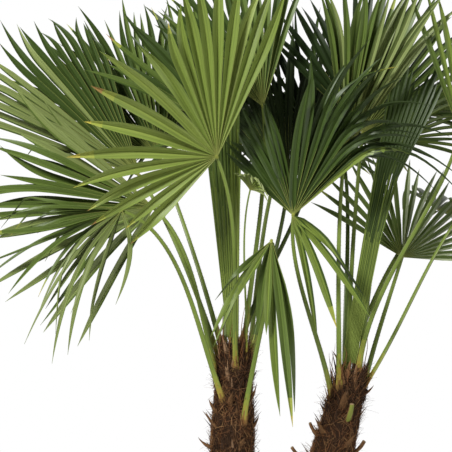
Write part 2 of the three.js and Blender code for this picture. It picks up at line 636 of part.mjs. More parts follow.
// Stalks and undivided blades stand where their rows put them; leaflets then give way to all that is there
function buildFronds(fixed) {
  const blades = FRONDS.map((frond) => {
    const frame = frondFrame(frond);
    const stalk = largest(stalkSolid(frond, frame).subtract(fixed));
    return { frond, frame, stalk, undivided: fanSolid(frond, frame, () => null) };
  });
  const taken = [boxed(fixed, 'fixed')];
  for (const { frond, stalk, undivided } of blades) {
    taken.push(boxed(stalk, frond.name), boxed(undivided, frond.name));
  }
  return blades.map(({ frond, frame, stalk }) => {
    const others = taken.filter(({ owner }) => owner !== frond.name);
    const solid = fanSolid(frond, frame, (fold) => {
      for (const bend of BENDS) {
        const probe = boxed(leafletProbe(frond, frame, fold, bend), frond.name);
        if (!others.some((other) => touches(probe, other))) {
          taken.push(probe);
          return bend;
        }
      }
      return null;
    });
    return { frond, solid: solid.add(stalk) };
  });
}

// Meshes

function toMesh(solid, name, look) {
  const { vertProperties, triVerts, numProp } = solid.getMesh();
  const geometry = new THREE.BufferGeometry();
  geometry.setAttribute('position', new THREE.InterleavedBufferAttribute(
    new THREE.InterleavedBuffer(vertProperties, numProp), 3, 0));
  geometry.setIndex(new THREE.BufferAttribute(triVerts, 1));
  geometry.computeVertexNormals();
  const material = new THREE.MeshStandardMaterial({ ...look, metalness: 0 });
  const mesh = new THREE.Mesh(geometry, material);
  mesh.name = name;
  return mesh;
}

const palm = new THREE.Group();
palm.add(toMesh(rootCrown(), 'root_crown', FIBRE_LOOK));
palm.add(toMesh(stemSolid('left', 0), 'trunk_left', FIBRE_LOOK));
palm.add(toMesh(stemSolid('right', 0), 'trunk_right', FIBRE_LOOK));
const keepClear = stemSolid('left', SEAT_GAP).add(stemSolid('right', SEAT_GAP));
const spears = SPEARS.map((spear) => ({ spear, solid: spearSolid(spear).subtract(keepClear) }));
for (const { spear, solid } of spears) {
  palm.add(toMesh(solid, `frond_${spear.name}`, SPEAR_LOOK));
}
const fixed = spears.reduce((whole, { solid }) => whole.add(solid), keepClear);
for (const { frond, solid } of buildFronds(fixed)) {
  palm.add(toMesh(solid, `frond_${frond.name}`, LEAF_LOOK));
}

export default palm;
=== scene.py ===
# A windmill palm: two fibre-clad stems that lean apart from one root crown, each with a head of fan
# fronds. Metres, +Z up, the origin on the ground between the stems, -Y to the front.

import math

import bpy
import numpy as np
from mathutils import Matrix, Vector, noise


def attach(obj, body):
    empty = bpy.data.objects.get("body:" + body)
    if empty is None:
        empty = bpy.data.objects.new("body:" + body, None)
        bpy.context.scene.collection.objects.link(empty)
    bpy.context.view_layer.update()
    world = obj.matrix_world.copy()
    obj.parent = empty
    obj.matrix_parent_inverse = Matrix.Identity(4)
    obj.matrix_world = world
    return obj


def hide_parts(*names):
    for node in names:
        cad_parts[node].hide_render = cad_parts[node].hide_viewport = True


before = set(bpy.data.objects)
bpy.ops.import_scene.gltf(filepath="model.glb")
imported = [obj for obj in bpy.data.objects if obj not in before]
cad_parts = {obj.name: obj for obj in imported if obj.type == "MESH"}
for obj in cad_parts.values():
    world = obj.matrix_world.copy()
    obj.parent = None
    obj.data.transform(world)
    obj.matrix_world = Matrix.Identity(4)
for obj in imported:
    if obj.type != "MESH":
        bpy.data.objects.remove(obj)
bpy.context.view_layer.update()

UP = np.array([0.0, 0.0, 1.0])

# Stems: centre line from foot to head
STEMS = {
    "left": {"foot": (-0.078, 0.0), "head": (-0.051, 0.0), "height": 0.966, "seed": 3},
    "right": {"foot": (0.079, 0.0), "head": (0.298, -0.020), "height": 0.885, "seed": 8},
}
# Radius of the fibre coat at shares of a stem's height
PROFILE_SHARES = (0, 0.09, 0.22, 0.5, 0.7, 0.82, 0.93, 1)
PROFILE_RADII = (0.084, 0.073, 0.064, 0.062, 0.064, 0.056, 0.048, 0.040)

# Root crown
CROWN_HEIGHT = 0.080
FOOT_RADIUS = 0.108
SADDLE_RADIUS = 0.084
SADDLE_HEIGHT = 0.050
SADDLE_TOP_RADIUS = 0.055
SADDLE_SEED = 5
FOOT_SIDES = 90
FOOT_STEPS = 22

# shade marks painted shade: there most leaflets take the darker colour of their set.
# Fronds, a row each. The first word of the name is the stem.
# start: height on the stem, side of it in degrees from +X towards the back, and distance from its
#   centre line where the stalk rises from the stem's top. hub: where blade and stalk meet.
# aim: direction of the blade's middle seen from the front, from +X upwards, and its lean to the front.
# face: where the upper side looks, 0 to the front, 90 up, 180 to the back. reach: leaflet length.
# cup: how far the leaflets rise out of the fan's plane. droop: how far their tips sink.
# look: set of colours, whose lightness paints light and shade. folds: number of directions for leaflets.
# width: of a leaflet.
# span: opening angle of the fan. spread: directions from the aim in its place, in degrees.
# lengths: shares of the reach. arch: how far the leaflets bow down. hanging: share whose tips hang.
# splay: how far the free ends right of the aim lean away. tangle: how unevenly the leaflets lie.
# overlap: width of the leaflets against the room between their neighbours.
# shade: shares of the leaflet count between which most leaflets are dark. ripe: share with a
#   yellow or brown tip. leave: parts of the stalk's first direction: to the hub, up, straight out.
# Spread, lengths and arch may be pairs of a share of the leaflet count and the value there.
COLUMNS = ("name", "start", "hub", "aim", "face", "reach", "cup", "droop", "look")
FRONDS = [
    ("left_front", (0.9, 275), (-0.104, -0.17, 1.522), (135, 14), 5, 0.5, 0.08, 0.03, "sunny",
     dict(spread=((0, -70), (0.5, -16), (0.72, 43), (1, 92)), lengths=((0, 1.2), (0.3, 1.12),
     (0.42, 0.97), (0.72, 0.94), (1, 0.76)), shade=(0, 0.5), folds=19, width=0.031, arch=0.12, ripe=0.75,
     tangle=1.4)),
    ("left_low_side", (0.805, 238), (-0.386, -0.06, 1.37), (212, 8), 30, 0.5, 0.08, 0.08, "dusky",
     dict(spread=((0, -40), (0.45, -8), (0.9167, 42), (0.9583, 72), (1, 80)), lengths=((0, 0.9),
     (0.2, 1), (0.8, 1), (0.955, 0.9), (1, 1.05)), shade=(0, 0.5), folds=24, width=0.014, hanging=0.3,
     arch=((0, 0.35), (0.955, 0.35), (1, 0)), tangle=4.5, overlap=1.8)),
    ("left_low_back", (0.88, 195), (-0.299, 0.06, 1.38), (172, -8), 20, 0.61, 0.1, 0.03, "dusky",
     dict(spread=((0, -36), (0.8, 22), (1, 76)), shade=(0.2, 0.7), folds=22, width=0.023, hanging=0.1,
     arch=0.1, tangle=2, overlap=1.3)),
    ("left_wide", (0.925, 165), (-0.345, 0.16, 1.478), (134, -8), 20, 0.67, 0.05, 0.02, "grey",
     dict(span=56, lengths=((0, 0.84), (0.45, 1), (1, 1)), shade=(0, 0.6), folds=18, width=0.028,
     arch=0.03)),
    ("left_rear", (0.93, 136), (-0.285, 0.27, 1.53), (114, -12), 20, 0.6, 0.05, 0.02, "deep",
     dict(span=90, folds=26, width=0.021, arch=0.03, tangle=1.5)),
    ("left_upright", (0.966, 110, 0.028), (-0.081, 0.13, 1.621), (112, -14), 20, 0.52, 0.05, 0.03,
     "deep", dict(span=90, folds=20, width=0.021, arch=0.05, tangle=1.5)),
    ("left_high", (0.966, 20, 0.028), (0.034, 0.04, 1.685), (108, -4), 20, 0.48, 0.08, 0.04, "deep",
     dict(span=72, folds=16, width=0.02, arch=0.1)),
    ("left_inner", (0.915, 20), (0.113, 0.13, 1.455), (92, -15), 150, 0.64, 0.1, 0.05, "dark",
     dict(span=96, folds=30, width=0.014, arch=0.1, tangle=2)),
    ("left_hanging", (0.742, 300), (0.053, -0.17, 1.28), (255, 12), 30, 0.52, 0.05, 0.05, "mid",
     dict(spread=((0, -34), (0.42, -8), (0.5, 6), (1, 30)), lengths=((0, 0.8), (0.5, 0.9), (0.6, 1),
     (1, 1)), folds=8, width=0.021, arch=0.9, tangle=4, overlap=1.6)),
    ("left_young", (0.93, 315), (-0.007, -0.08, 1.43), (60, 20), 30, 0.11, 0.5, 0.3, "pale",
     dict(span=120, folds=11, width=0.009, hanging=0.3, arch=1)),
    ("left_back_out", (0.86, 120), (-0.11, 0.36, 1.62), (165, -50), 60, 0.46, 0.1, 0.15, "deep",
     dict(span=190, hanging=0.18)),
    ("left_back_mid", (0.88, 85), (-0.03, 0.38, 1.6), (80, -60), 60, 0.56, 0.1, 0.1, "deep",
     dict(span=200, arch=0.08, hanging=0.1)),
    ("left_back_in", (0.85, 50), (0.12, 0.32, 1.58), (30, -50), 60, 0.44, 0.1, 0.15, "deep",
     dict(span=180, hanging=0.18)),
    ("right_front", (0.82, 205), (0.118, -0.11, 1.355), (62, 6), 25, 0.6, 0.06, 0.03, "bunch",
     dict(splay=0.9, spread=((0, -145), (0.1212, -80), (0.1515, -22), (0.697, 20), (0.7273, 36),
     (1, 76)), lengths=((0, 0.6), (0.1, 0.64), (0.13, 1), (0.7, 1), (0.73, 0.62), (0.88, 0.62),
     (1, 0.48)), shade=(0.13, 1), folds=33, width=0.021, arch=((0, 0.6), (0.1, 0.6), (0.13, 0.9),
     (0.6, 0.5), (0.73, 0.15), (1, 0.15)), tangle=2.2, overlap=2.2)),
    ("right_upright", (0.842, 232), (0.276, -0.05, 1.549), (76, 8), 10, 0.58, 0.05, 0.03, "dusky",
     dict(span=44, shade=(0.5, 1), folds=18, width=0.018, arch=0.1, tangle=1.5, overlap=1.4)),
    ("right_rear", (0.885, 110, 0.026), (0.34, 0.09, 1.607), (80, -10), 10, 0.54, 0.05, 0.05, "split",
     dict(span=110, shade=(0.5, 1), folds=22, width=0.02, arch=0.1)),
    ("right_low_side", (0.83, 20), (0.468, 0.15, 1.227), (70, -15), 20, 0.37, 0.05, 0, "halved",
     dict(span=156, lengths=((0, 0.82), (0.5, 0.84), (0.75, 1), (1, 1)), shade=(0.6, 1), folds=21,
     width=0.016, arch=0.03)),
    ("right_high", (0.885, 320, 0.026), (0.612, -0.08, 1.598), (88, 8), 10, 0.5, 0.08, 0.05, "mid",
     dict(leave=(0.2, 0.9, 0), span=50, folds=9, width=0.015, arch=0.12)),
    ("right_inner", (0.885, 30, 0.026), (0.454, 0.22, 1.594), (60, -25), 20, 0.37, 0.08, 0.06, "mid",
     dict(span=160, folds=22, width=0.014, arch=0.3, hanging=0.18)),
    ("right_wide", (0.85, 350), (0.74, -0.02, 1.48), (10, 15), 60, 0.43, 0.08, 0.15, "mid",
     dict(leave=(0.95, 0.05, 0.05), span=190, hanging=0.18)),
    ("right_back_out", (0.85, 70), (0.45, 0.37, 1.69), (50, -60), 60, 0.48, 0.1, 0.12, "deep",
     dict(span=200, hanging=0.18)),
    ("right_back_in", (0.85, 100), (0.3, 0.35, 1.56), (110, -50), 60, 0.46, 0.1, 0.1, "dark",
     dict(span=180, hanging=0.18)),
    ("right_back_wide", (0.8, 110), (0.6, 0.33, 1.375), (350, -40), 65, 0.43, 0.1, 0.15, "mid",
     dict(span=150, hanging=0.18)),
    ("left_top", (0.966, 60, 0.028), (0.2, 0.26, 1.6), (116, -12), 20, 0.52, 0.05, 0.06, "dark",
     dict(span=110, folds=20, width=0.014, arch=0.1, tangle=2)),
]

# Closed young fronds, in the same columns. root: half of a fold's width at the hub.
# opening: how much faster the strip widens to the right from where it begins to open.
# shades: shares of the length between which it turns from pale to dark: painted shade into the crown.
# taper: share of the length from which it narrows. twist: scatter.
# pleats: depth of a fold against half its width, inside and outside.
CLOSED = dict(arch=0, tangle=0, overlap=1.25, taper=0.85, twist=0.05, pleats=(0.75, 0.75))
SPEARS = [
    ("left_spear", (0.966, 240, 0.008), (-0.058, -0.02, 0.985), (93, 2), 0, 0.905, 0, 0, "spear",
     dict(CLOSED, span=6.6, folds=9, root=0.0017, width=0.01, shades=(-0.1, 0.9))),
    ("right_spear", (0.885, 300, 0.008), (0.286, -0.024, 0.905), (79.5, 1), 0, 0.96, 0, 0, "spear",
     dict(CLOSED, span=1.6, folds=10, root=0.002, width=0.012, shades=(0.1, 0.66), opening=10)),
]

# Leaflets
LEAFLET_PITCH = 6.4  # degrees
LEAFLET_WIDTH = 0.025
WIDTH_SPREAD = (0.85, 1.08)
DIRECTION_SPREAD = 0.06
SIDE_SHORTENING = 0.28  # of leaflets at right angles to the aim
LENGTH_SPREAD = 0.12
DEFAULT_ARCH = 0.25
DEFAULT_RIPE = 0.12
DRY_SHARE = 0.35  # of the ripe tips
SPLIT_LIMITS = (0.06, 0.86)  # shares of the leaflet
GAP_PITCH = math.radians(25)  # a wider step between two directions holds no leaflet
SPLAY_LIMIT = math.radians(30)
JOINED = 1.02  # leaflets' width against the room between their neighbours
OVERLAP_LIFT = 0.018  # between overlapping leaflets, to the metre from the hub
LIFT_SPREAD = 0.025  # scatter of the leaflets out of the fan's plane and in it
DRIFT_SPREAD = 0.03
ARCH_SCATTER = (0.3, 1.5)
HANG_FROM = (0.5, 0.85)  # shares of the leaflet where a hanging tip begins
HANG_PULL = (0.6, 1.5)
HANG_LENGTH = 0.1  # shares of the leaflet over which it turns down, hanging or bowed
BOW_LENGTH = 0.6
STEEP = 0.25  # leaflets nearer the upright than this keep their own side
LEVEL_RATE = 1.5  # how soon the side of a hanging leaflet turns level
TWIST_SPREAD = 0.2
INNER_STATIONS = np.array([0.015, 0.25, 0.5, 0.75, 1.0])  # shares of the undivided part
OUTER_STATIONS = 1 - (1 - np.linspace(0, 1, 14)[1:]) ** 1.4  # and of the free part, closer at the tip
FREE_SWELL = 1.12  # greatest width of the free part
SWELL_END = 0.8  # share of the free part
TAPER_START = 0.58  # share of the leaflet
TAPER_POWER = 2.5
TIP_HALF_WIDTH = 0.0004
BLADE_THICKNESS = 0.0009
TIP_THINNESS = 0.4
PLEAT_RATIOS = (0.85, 0.65)  # depth against half the width, joined and free
RIDGE_RADII = (0.0011, 0.0003)
SPEAR_OPEN_FROM = 0.55  # share of the length
# Painted shade: the young fronds turn from the lit leaf green to the shaded one up their length, their
# edges later, as they keep the light longer.
SPEAR_SHADES = ("leaf_light", "leaf_fresh", "leaf_mid", "leaf_deep")
SPEAR_SHADE_SPREAD = 0.7  # unevenness of those shades, in steps
SPEAR_EDGE_DELAY = 0.2  # how much later the strip's edges turn dark

# Cross-section of a leaflet: four faces above, from edge to edge, and four below
SECTION_X = np.array([-1, -0.5, 0, 0.5, 1, 0.5, 0, -0.5])
SECTION_FOLD = np.abs(SECTION_X) - 0.5
SECTION_BULGE = np.array([0, 1, 0, 1, 0, 1, 0, 1]) * 0.08
SECTION_DEPTH = np.array([0, 0, 0, 0, 0, 1, 1.5, 1])
# Painted shade: the outer upper face on one side of each leaflet always takes the darker upper colour,
# as on the fold's shaded half.
SHADED_EDGE_FACE = 3
UPPER_A, UPPER_B, UNDER, PALE_TIP, TIP, DRY, RIB = range(7)
# Painted shade: in a frond's shaded part most leaflets take the darker upper colour.
SHADE_SHARE = 0.93  # dark leaflets in the shaded part, and light ones outside it

# Stalks
STALK_BASE_WIDTH = 0.018
STALK_TIP_WIDTH = 0.0105
STALK_FLATNESS = 0.62
STALK_RINGS = 30
STALK_RING_POWER = 1.25  # rings stand closer at the foot
STALK_POINTS = 12
STALK_EDGES = (0, 6)  # points along the edges, and the faces beside them
STALK_EDGE_FACES = [0, 5, 6, 11]
STALK_UPPER = 0.5  # height of the upper side against the lower
STALK_GROOVE = (0.3, 0.05)  # half width and depth, against the stalk's half width
STALK_ROOT_OUT = 0.003
STALK_ROOT_SINK = 0.012
STALK_INTO_BLADE = 0.07
SPEAR_STALK_INTO = 0.05
STALK_LEAVE = (0.8, 0.35, 0.05)
STALK_HANDLES = (0.35, 0.3)  # reach of the curve's handles at the foot and the hub
ARRIVE_ALONG = 0.9  # how far the stalk turns into the blade's direction
HUB_DROP = 0.0108  # share of the leaflet length
SHEATH_DEPTH = 0.035  # how far the stalk runs on down into the fibre
SHEATH_INWARD = 0.35
SHEATH_FLARE = 0.35  # how much wider the foot is, and over which share of the length
SHEATH_FLARE_LENGTH = 0.025
YOUNG_REACH = 0.300  # a blade with shorter leaflets has a slimmer stalk
YOUNG_SLIMNESS = 0.5
STALK_BANDS = (0.035, 0.075, 0.14)  # shares of the length where rust, amber and yellow end
STREAK = 0.012
GREEN_STALK, YELLOW_STALK, STALK_EDGE = 0, 1, 4
TOOTH_PITCH = 0.011
TOOTH_LENGTH = 0.0022
TOOTH_SIZES = (0.5, 1.2)
TOOTH_RADII = [[0.0009, 0.0001]]
TOOTH_SINK = 0.001
TOOTH_RISE = 0.5
TOOTH_RANGE = (0.1, 0.85)  # shares of the stalk's length
TOOTH_SCATTER = 0.002
FLAP_ALONG = np.array([-0.5, 0.1, 0.5, 0.8])  # against the stalk's width at its tip
FLAP_UP = np.array([0, 0.12, 0.22, 0.26])
FLAP_RADII = np.array([0.3, 0.5, 0.35, 0.05])
FLAP_FLATNESS = 0.22

# Sets of colours: leaf colours of the upper sides, under colour below, stalk colour
# The sets are lighter for fronds in the light and darker for those in the crown's shade: painted light
# and shade.
LOOKS = {
    "sunny": ("light", "fresh", "mid", "green"),
    "mid": ("fresh", "mid", "mid", "green"),
    "bunch": ("fresh", "deep", "dark", "green"),
    "dusky": ("grey", "mid", "mid", "green"),
    # Pale lit halves and darker halves of the leaflets: painted light and shade.
    "halved": ("pale", "mid", "mid", "green"),
    "deep": ("mid", "deep", "mid", "green"),
    "split": ("mid", "dark", "mid", "green"),
    "dark": ("deep", "dark", "dark", "dark"),
    "grey": ("grey", "deep", "pale", "green"),
    "pale": ("grey", "fresh", "pale", "green"),
}
TIP_COLOURS = ("tip_lime", "tip_yellow", "tip_brown")
STALK_COLOURS = ("stalk_yellow", "stalk_amber", "stalk_rust", "stalk_edge")

# Colours in linear light: darkest, lightest, roughness
LEAF_COLOURS = {
    # leaf_light, leaf_fresh, leaf_mid, leaf_deep and leaf_dark are one green from lit to shaded, and
    # under_dark and stalk_dark are shaded copies: painted light and shade.
    "leaf_light": ((0.092, 0.124, 0.0232), (0.22, 0.275, 0.0572), 0.42),
    # leaf_pale: the lit halves of leaflets: painted light.
    "leaf_pale": ((0.256, 0.304, 0.16), (0.594, 0.66, 0.418), 0.45),
    "leaf_fresh": ((0.068, 0.1, 0.0162), (0.176, 0.231, 0.0436), 0.42),
    "leaf_mid": ((0.036, 0.06, 0.0104), (0.105, 0.149, 0.0301), 0.40),
    "leaf_deep": ((0.0144, 0.0272, 0.00518), (0.0506, 0.0814, 0.0166), 0.38),
    "leaf_dark": ((0.0048, 0.0104, 0.0023), (0.0198, 0.0352, 0.00792), 0.40),
    "leaf_grey": ((0.084, 0.108, 0.0317), (0.209, 0.253, 0.0832), 0.45),
    "under_pale": ((0.112, 0.136, 0.049), (0.264, 0.308, 0.119), 0.55),
    "under_mid": ((0.056, 0.08, 0.0196), (0.132, 0.176, 0.0491), 0.55),
    "under_dark": ((0.008, 0.0144, 0.00346), (0.0308, 0.0495, 0.0127), 0.55),
    "tip_lime": ((0.136, 0.16, 0.0259), (0.286, 0.319, 0.0594), 0.45),
    "tip_yellow": ((0.208, 0.184, 0.0288), (0.462, 0.396, 0.0713), 0.5),
    "tip_brown": ((0.136, 0.08, 0.023), (0.352, 0.22, 0.0713), 0.7),
    "rib": ((0.104, 0.12, 0.0272), (0.242, 0.264, 0.066), 0.45),
    "stalk_green": ((0.068, 0.1, 0.0173), (0.165, 0.22, 0.0436), 0.35),
    "stalk_dark": ((0.028, 0.0464, 0.00808), (0.0825, 0.121, 0.0238), 0.35),
    "stalk_edge": ((0.048, 0.056, 0.0104), (0.121, 0.132, 0.0277), 0.5),
    "stalk_yellow": ((0.104, 0.12, 0.0173), (0.242, 0.264, 0.0436), 0.4),
    "stalk_amber": ((0.136, 0.112, 0.0173), (0.308, 0.242, 0.0396), 0.45),
    "stalk_rust": ((0.08, 0.044, 0.0115), (0.242, 0.132, 0.0317), 0.55),
}
FIBRE_COLOURS = {
    # coat: partly the mat's own dark brown, partly painted shade, near black for the gaps between the
    # strands.
    "coat": ((0.006, 0.003, 0.0014), (0.042, 0.019, 0.007), 0.95),
    "fibre_dark": ((0.018, 0.009, 0.004), (0.055, 0.027, 0.012), 0.9),
    "fibre_brown": ((0.090, 0.036, 0.012), (0.19, 0.082, 0.031), 0.85),
    "fibre_tan": ((0.16, 0.080, 0.030), (0.30, 0.17, 0.07), 0.8),
    "husk": ((0.060, 0.028, 0.010), (0.17, 0.085, 0.032), 0.8),
    "husk_tan": ((0.13, 0.070, 0.034), (0.28, 0.17, 0.09), 0.8),
    "cut_face": ((0.12, 0.08, 0.04), (0.28, 0.20, 0.11), 0.8),
}
GRAIN_LIMITS = (0.32, 0.68)  # noise values of the darkest and the lightest colour
LEAF_GRAIN = (9, 1.5, 1)  # noise cells across a leaflet, and to the metre along it
LEAF_RELIEF = 0.0006
FIBRE_GRAIN = (260, 260, 45)  # noise cells to the metre
FIBRE_RELIEF = 0.003
SHARP_ANGLE = math.radians(38)


def unit(vectors):
    return vectors / np.maximum(np.linalg.norm(vectors, axis=-1, keepdims=True), 1e-9)


def lerp(low, high, share):
    return low + (high - low) * share


def ease(share):
    share = np.clip(share, 0, 1)
    return share * share * (3 - 2 * share)


def scatter(index, seed):
    """Even, repeatable scatter between 0 and 1: the fraction of a steep sine."""
    value = math.sin(index * 12.9898 + seed * 78.233) * 43758.5453
    return value - math.floor(value)


def circle(points):
    turn = np.arange(points) / points * math.tau
    return np.stack([np.cos(turn), np.sin(turn)], axis=-1)


def around(angle):
    angle = np.asarray(angle)
    return np.stack([np.cos(angle), np.sin(angle), np.zeros_like(angle)], axis=-1)


def bezier(points, share):
    a, b, c, d = (np.asarray(p) for p in points)
    t = share[:, None]
    return a * (1 - t) ** 3 + 3 * b * t * (1 - t) ** 2 + 3 * c * t ** 2 * (1 - t) + d * t ** 3


def stem_centre(stem, height):
    share = np.asarray(height) / stem["height"]
    foot, head = np.array(stem["foot"]), np.array(stem["head"])
    return np.concatenate([lerp(foot, head, share[..., None]), np.asarray(height)[..., None]], axis=-1)


def stem_radius(stem, height):
    return np.interp(np.asarray(height) / stem["height"], PROFILE_SHARES, PROFILE_RADII)


# Materials

def set_inputs(node, values):
    for name, value in values.items():
        node.inputs[name].default_value = value
    return node


def make_material(name, colour, grain, relief, coordinates):
    """Two-tone grain with the same grain in relief."""
    low, high, roughness = colour
    material = bpy.data.materials.new(name)
    material.use_nodes = True
    nodes = material.node_tree.nodes
    link = material.node_tree.links.new
    shader = set_inputs(nodes["Principled BSDF"], {"Roughness": roughness, "Specular IOR Level": 0.2})
    place = nodes.new("ShaderNodeTexCoord")
    stretch = set_inputs(nodes.new("ShaderNodeMapping"), {"Scale": grain})
    link(place.outputs[coordinates], stretch.inputs["Vector"])
    pattern = nodes.new("ShaderNodeTexNoise")
    set_inputs(pattern, {"Scale": 1, "Detail": 5, "Roughness": 0.65})
    link(stretch.outputs["Vector"], pattern.inputs["Vector"])
    tones = nodes.new("ShaderNodeValToRGB")
    for element, limit, tone in zip(tones.color_ramp.elements, GRAIN_LIMITS, (low, high)):
        element.position = limit
        element.color = (*tone, 1)
    link(pattern.outputs["Fac"], tones.inputs["Fac"])
    link(tones.outputs["Color"], shader.inputs["Base Color"])
    bump = set_inputs(nodes.new("ShaderNodeBump"), {"Strength": 0.6, "Distance": relief})
    link(pattern.outputs["Fac"], bump.inputs["Height"])
    link(bump.outputs["Normal"], shader.inputs["Normal"])
    return material


def make_materials():
    leaf = {name: make_material(name, colour, LEAF_GRAIN, LEAF_RELIEF, "UV")
            for name, colour in LEAF_COLOURS.items()}
    fibre = {name: make_material(name, colour, FIBRE_GRAIN, FIBRE_RELIEF, "Object")
             for name, colour in FIBRE_COLOURS.items()}
    return leaf | fibre


# Meshes

def tube_faces(rings):
    """Point numbers of the side faces and end caps of a batch of tubes, all facing outwards."""
    number = np.arange(rings[..., 0].size).reshape(rings.shape[:3])
    beside = np.roll(number, -1, axis=2)
    sides = np.stack([number[:, :-1], beside[:, :-1], beside[:, 1:], number[:, 1:]], axis=-1)
    sides = sides.reshape(-1, 4)
    caps = np.concatenate([number[:, 0, ::-1], number[:, -1]])
    flat = rings.reshape(-1, 3)
    a, b, c, d = (flat[sides[:, i]] - flat.mean(axis=0) for i in range(4))
    if (np.cross(a, b) * c).sum() + (np.cross(a, c) * d).sum() < 0:
        return sides[:, ::-1], caps[:, ::-1]
    return sides, caps


def tube_map(rings):
    """Texture place of each point: from edge to edge of the tube and back, and metres along it."""
    tubes, _, points, _ = rings.shape
    centres = rings.mean(axis=2)
    run = np.linalg.norm(np.diff(centres, axis=1), axis=-1).cumsum(axis=1)
    along = np.concatenate([np.zeros((tubes, 1)), run], axis=1)[..., None]
    across = 1 - np.abs(1 - 2 * np.arange(points) / points)
    shape = rings.shape[:3]
    place = np.stack([np.broadcast_to(across, shape), np.broadcast_to(along, shape)], axis=-1)
    return place.reshape(-1, 2)


class Piece:
    """Closed tubes of one object, gathered in batches and made into one mesh."""

    def __init__(self, name, materials):
        self.name = name
        self.materials = materials
        self.batches = []

    def add(self, rings, tint):
        """rings: tube, ring, point, xyz.
        tint: material number, one or an array over tube, ring - 1, point.
        """
        rings = rings if rings.ndim == 4 else rings[None]
        tubes, count, points, _ = rings.shape
        self.batches.append((rings, np.broadcast_to(tint, (tubes, count - 1, points))))

    def make_mesh(self):
        places, maps, corners, sizes, tints = [], [], [], [], []
        first = 0
        for rings, tint in self.batches:
            sides, caps = tube_faces(rings)
            places.append(rings.reshape(-1, 3))
            maps.append(tube_map(rings))
            corners += [sides.ravel() + first, caps.ravel() + first]
            sizes += [np.full(len(sides), 4), np.full(len(caps), rings.shape[2])]
            tints += [tint.ravel(), tint[:, 0, 0], tint[:, -1, 0]]
            first += len(places[-1])
        corners = np.concatenate(corners)
        sizes = np.concatenate(sizes)
        mesh = bpy.data.meshes.new(self.name)
        mesh.vertices.add(first)
        mesh.vertices.foreach_set("co", np.concatenate(places).ravel())
        mesh.loops.add(len(corners))
        mesh.loops.foreach_set("vertex_index", corners)
        mesh.polygons.add(len(sizes))
        mesh.polygons.foreach_set("loop_start", np.concatenate([[0], np.cumsum(sizes)[:-1]]))
        mesh.polygons.foreach_set("material_index", np.concatenate(tints))
        layer = mesh.uv_layers.new(name="UVMap")
        layer.uv.foreach_set("vector", np.concatenate(maps)[corners].ravel())
        mesh.update(calc_edges=True)
        return mesh

    def build(self, slot, replaces):
        mesh = self.make_mesh()
        mesh.shade_smooth()
        mesh.set_sharp_from_angle(angle=SHARP_ANGLE)
        piece = bpy.data.objects.new(self.name, mesh)
        bpy.context.scene.collection.objects.link(piece)
        for name in self.materials:
            mesh.materials.append(MATERIALS[name])
        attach(piece, "root")
        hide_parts(*replaces)


def sweep(lines, size, upper, profile):
    """Tubes along lines (tube, ring, xyz).
    size: scale of the profile. upper: where its second axis looks.
    """
    tangent = unit(np.gradient(lines, axis=1))
    side = unit(np.cross(upper, tangent))
    normal = np.cross(tangent, side)
    size = np.broadcast_to(size, lines.shape[:2])[..., None, None]
    return (lines[:, :, None]
            + side[:, :, None] * profile[:, 0, None] * size
            + normal[:, :, None] * profile[:, 1, None] * size)


# Blades

def frond_axes(row):
    turn, lean = np.radians(row["aim"])
    along = np.array([math.cos(lean) * math.cos(turn), -math.sin(lean), math.cos(lean) * math.sin(turn)])
    face = math.radians(row["face"])
    normal = np.array([0, -math.cos(face), math.sin(face)])
    normal = unit(normal - along * normal.dot(along))
    return np.array(row["hub"]), along, np.cross(normal, along), normal


def bend_down(lines, share, start, spread, pull):
    """Leaflets that bow or hang beyond their start share, each keeping its length."""
    step = np.diff(lines, axis=1)
    size = np.linalg.norm(step, axis=-1, keepdims=True)
    weight = pull[:, None] * ease((share[:, 1:] - start[:, None]) / spread[:, None])
    turned = unit(step / size - weight[..., None] * UP) * size
    return np.concatenate([lines[:, :1], lines[:, :1] + turned.cumsum(axis=1)], axis=1)


def leaflet_edges(row):
    """Directions, from the aim, of the folds between the leaflets."""
    half = row.get("span", 0) / 2
    shares, turns = zip(*row.get("spread", ((0, -half), (1, half))))
    count = row.get("folds", round((turns[-1] - turns[0]) / LEAFLET_PITCH))
    return np.radians(np.interp(np.linspace(0, 1, count + 1), shares, turns))


def over_fan(value, count):
    """One number for each leaflet, from one for all or from knots over the leaflet count."""
    if isinstance(value, tuple):
        return np.interp(np.linspace(0, 1, count), *zip(*value))
    return np.full(count, value)


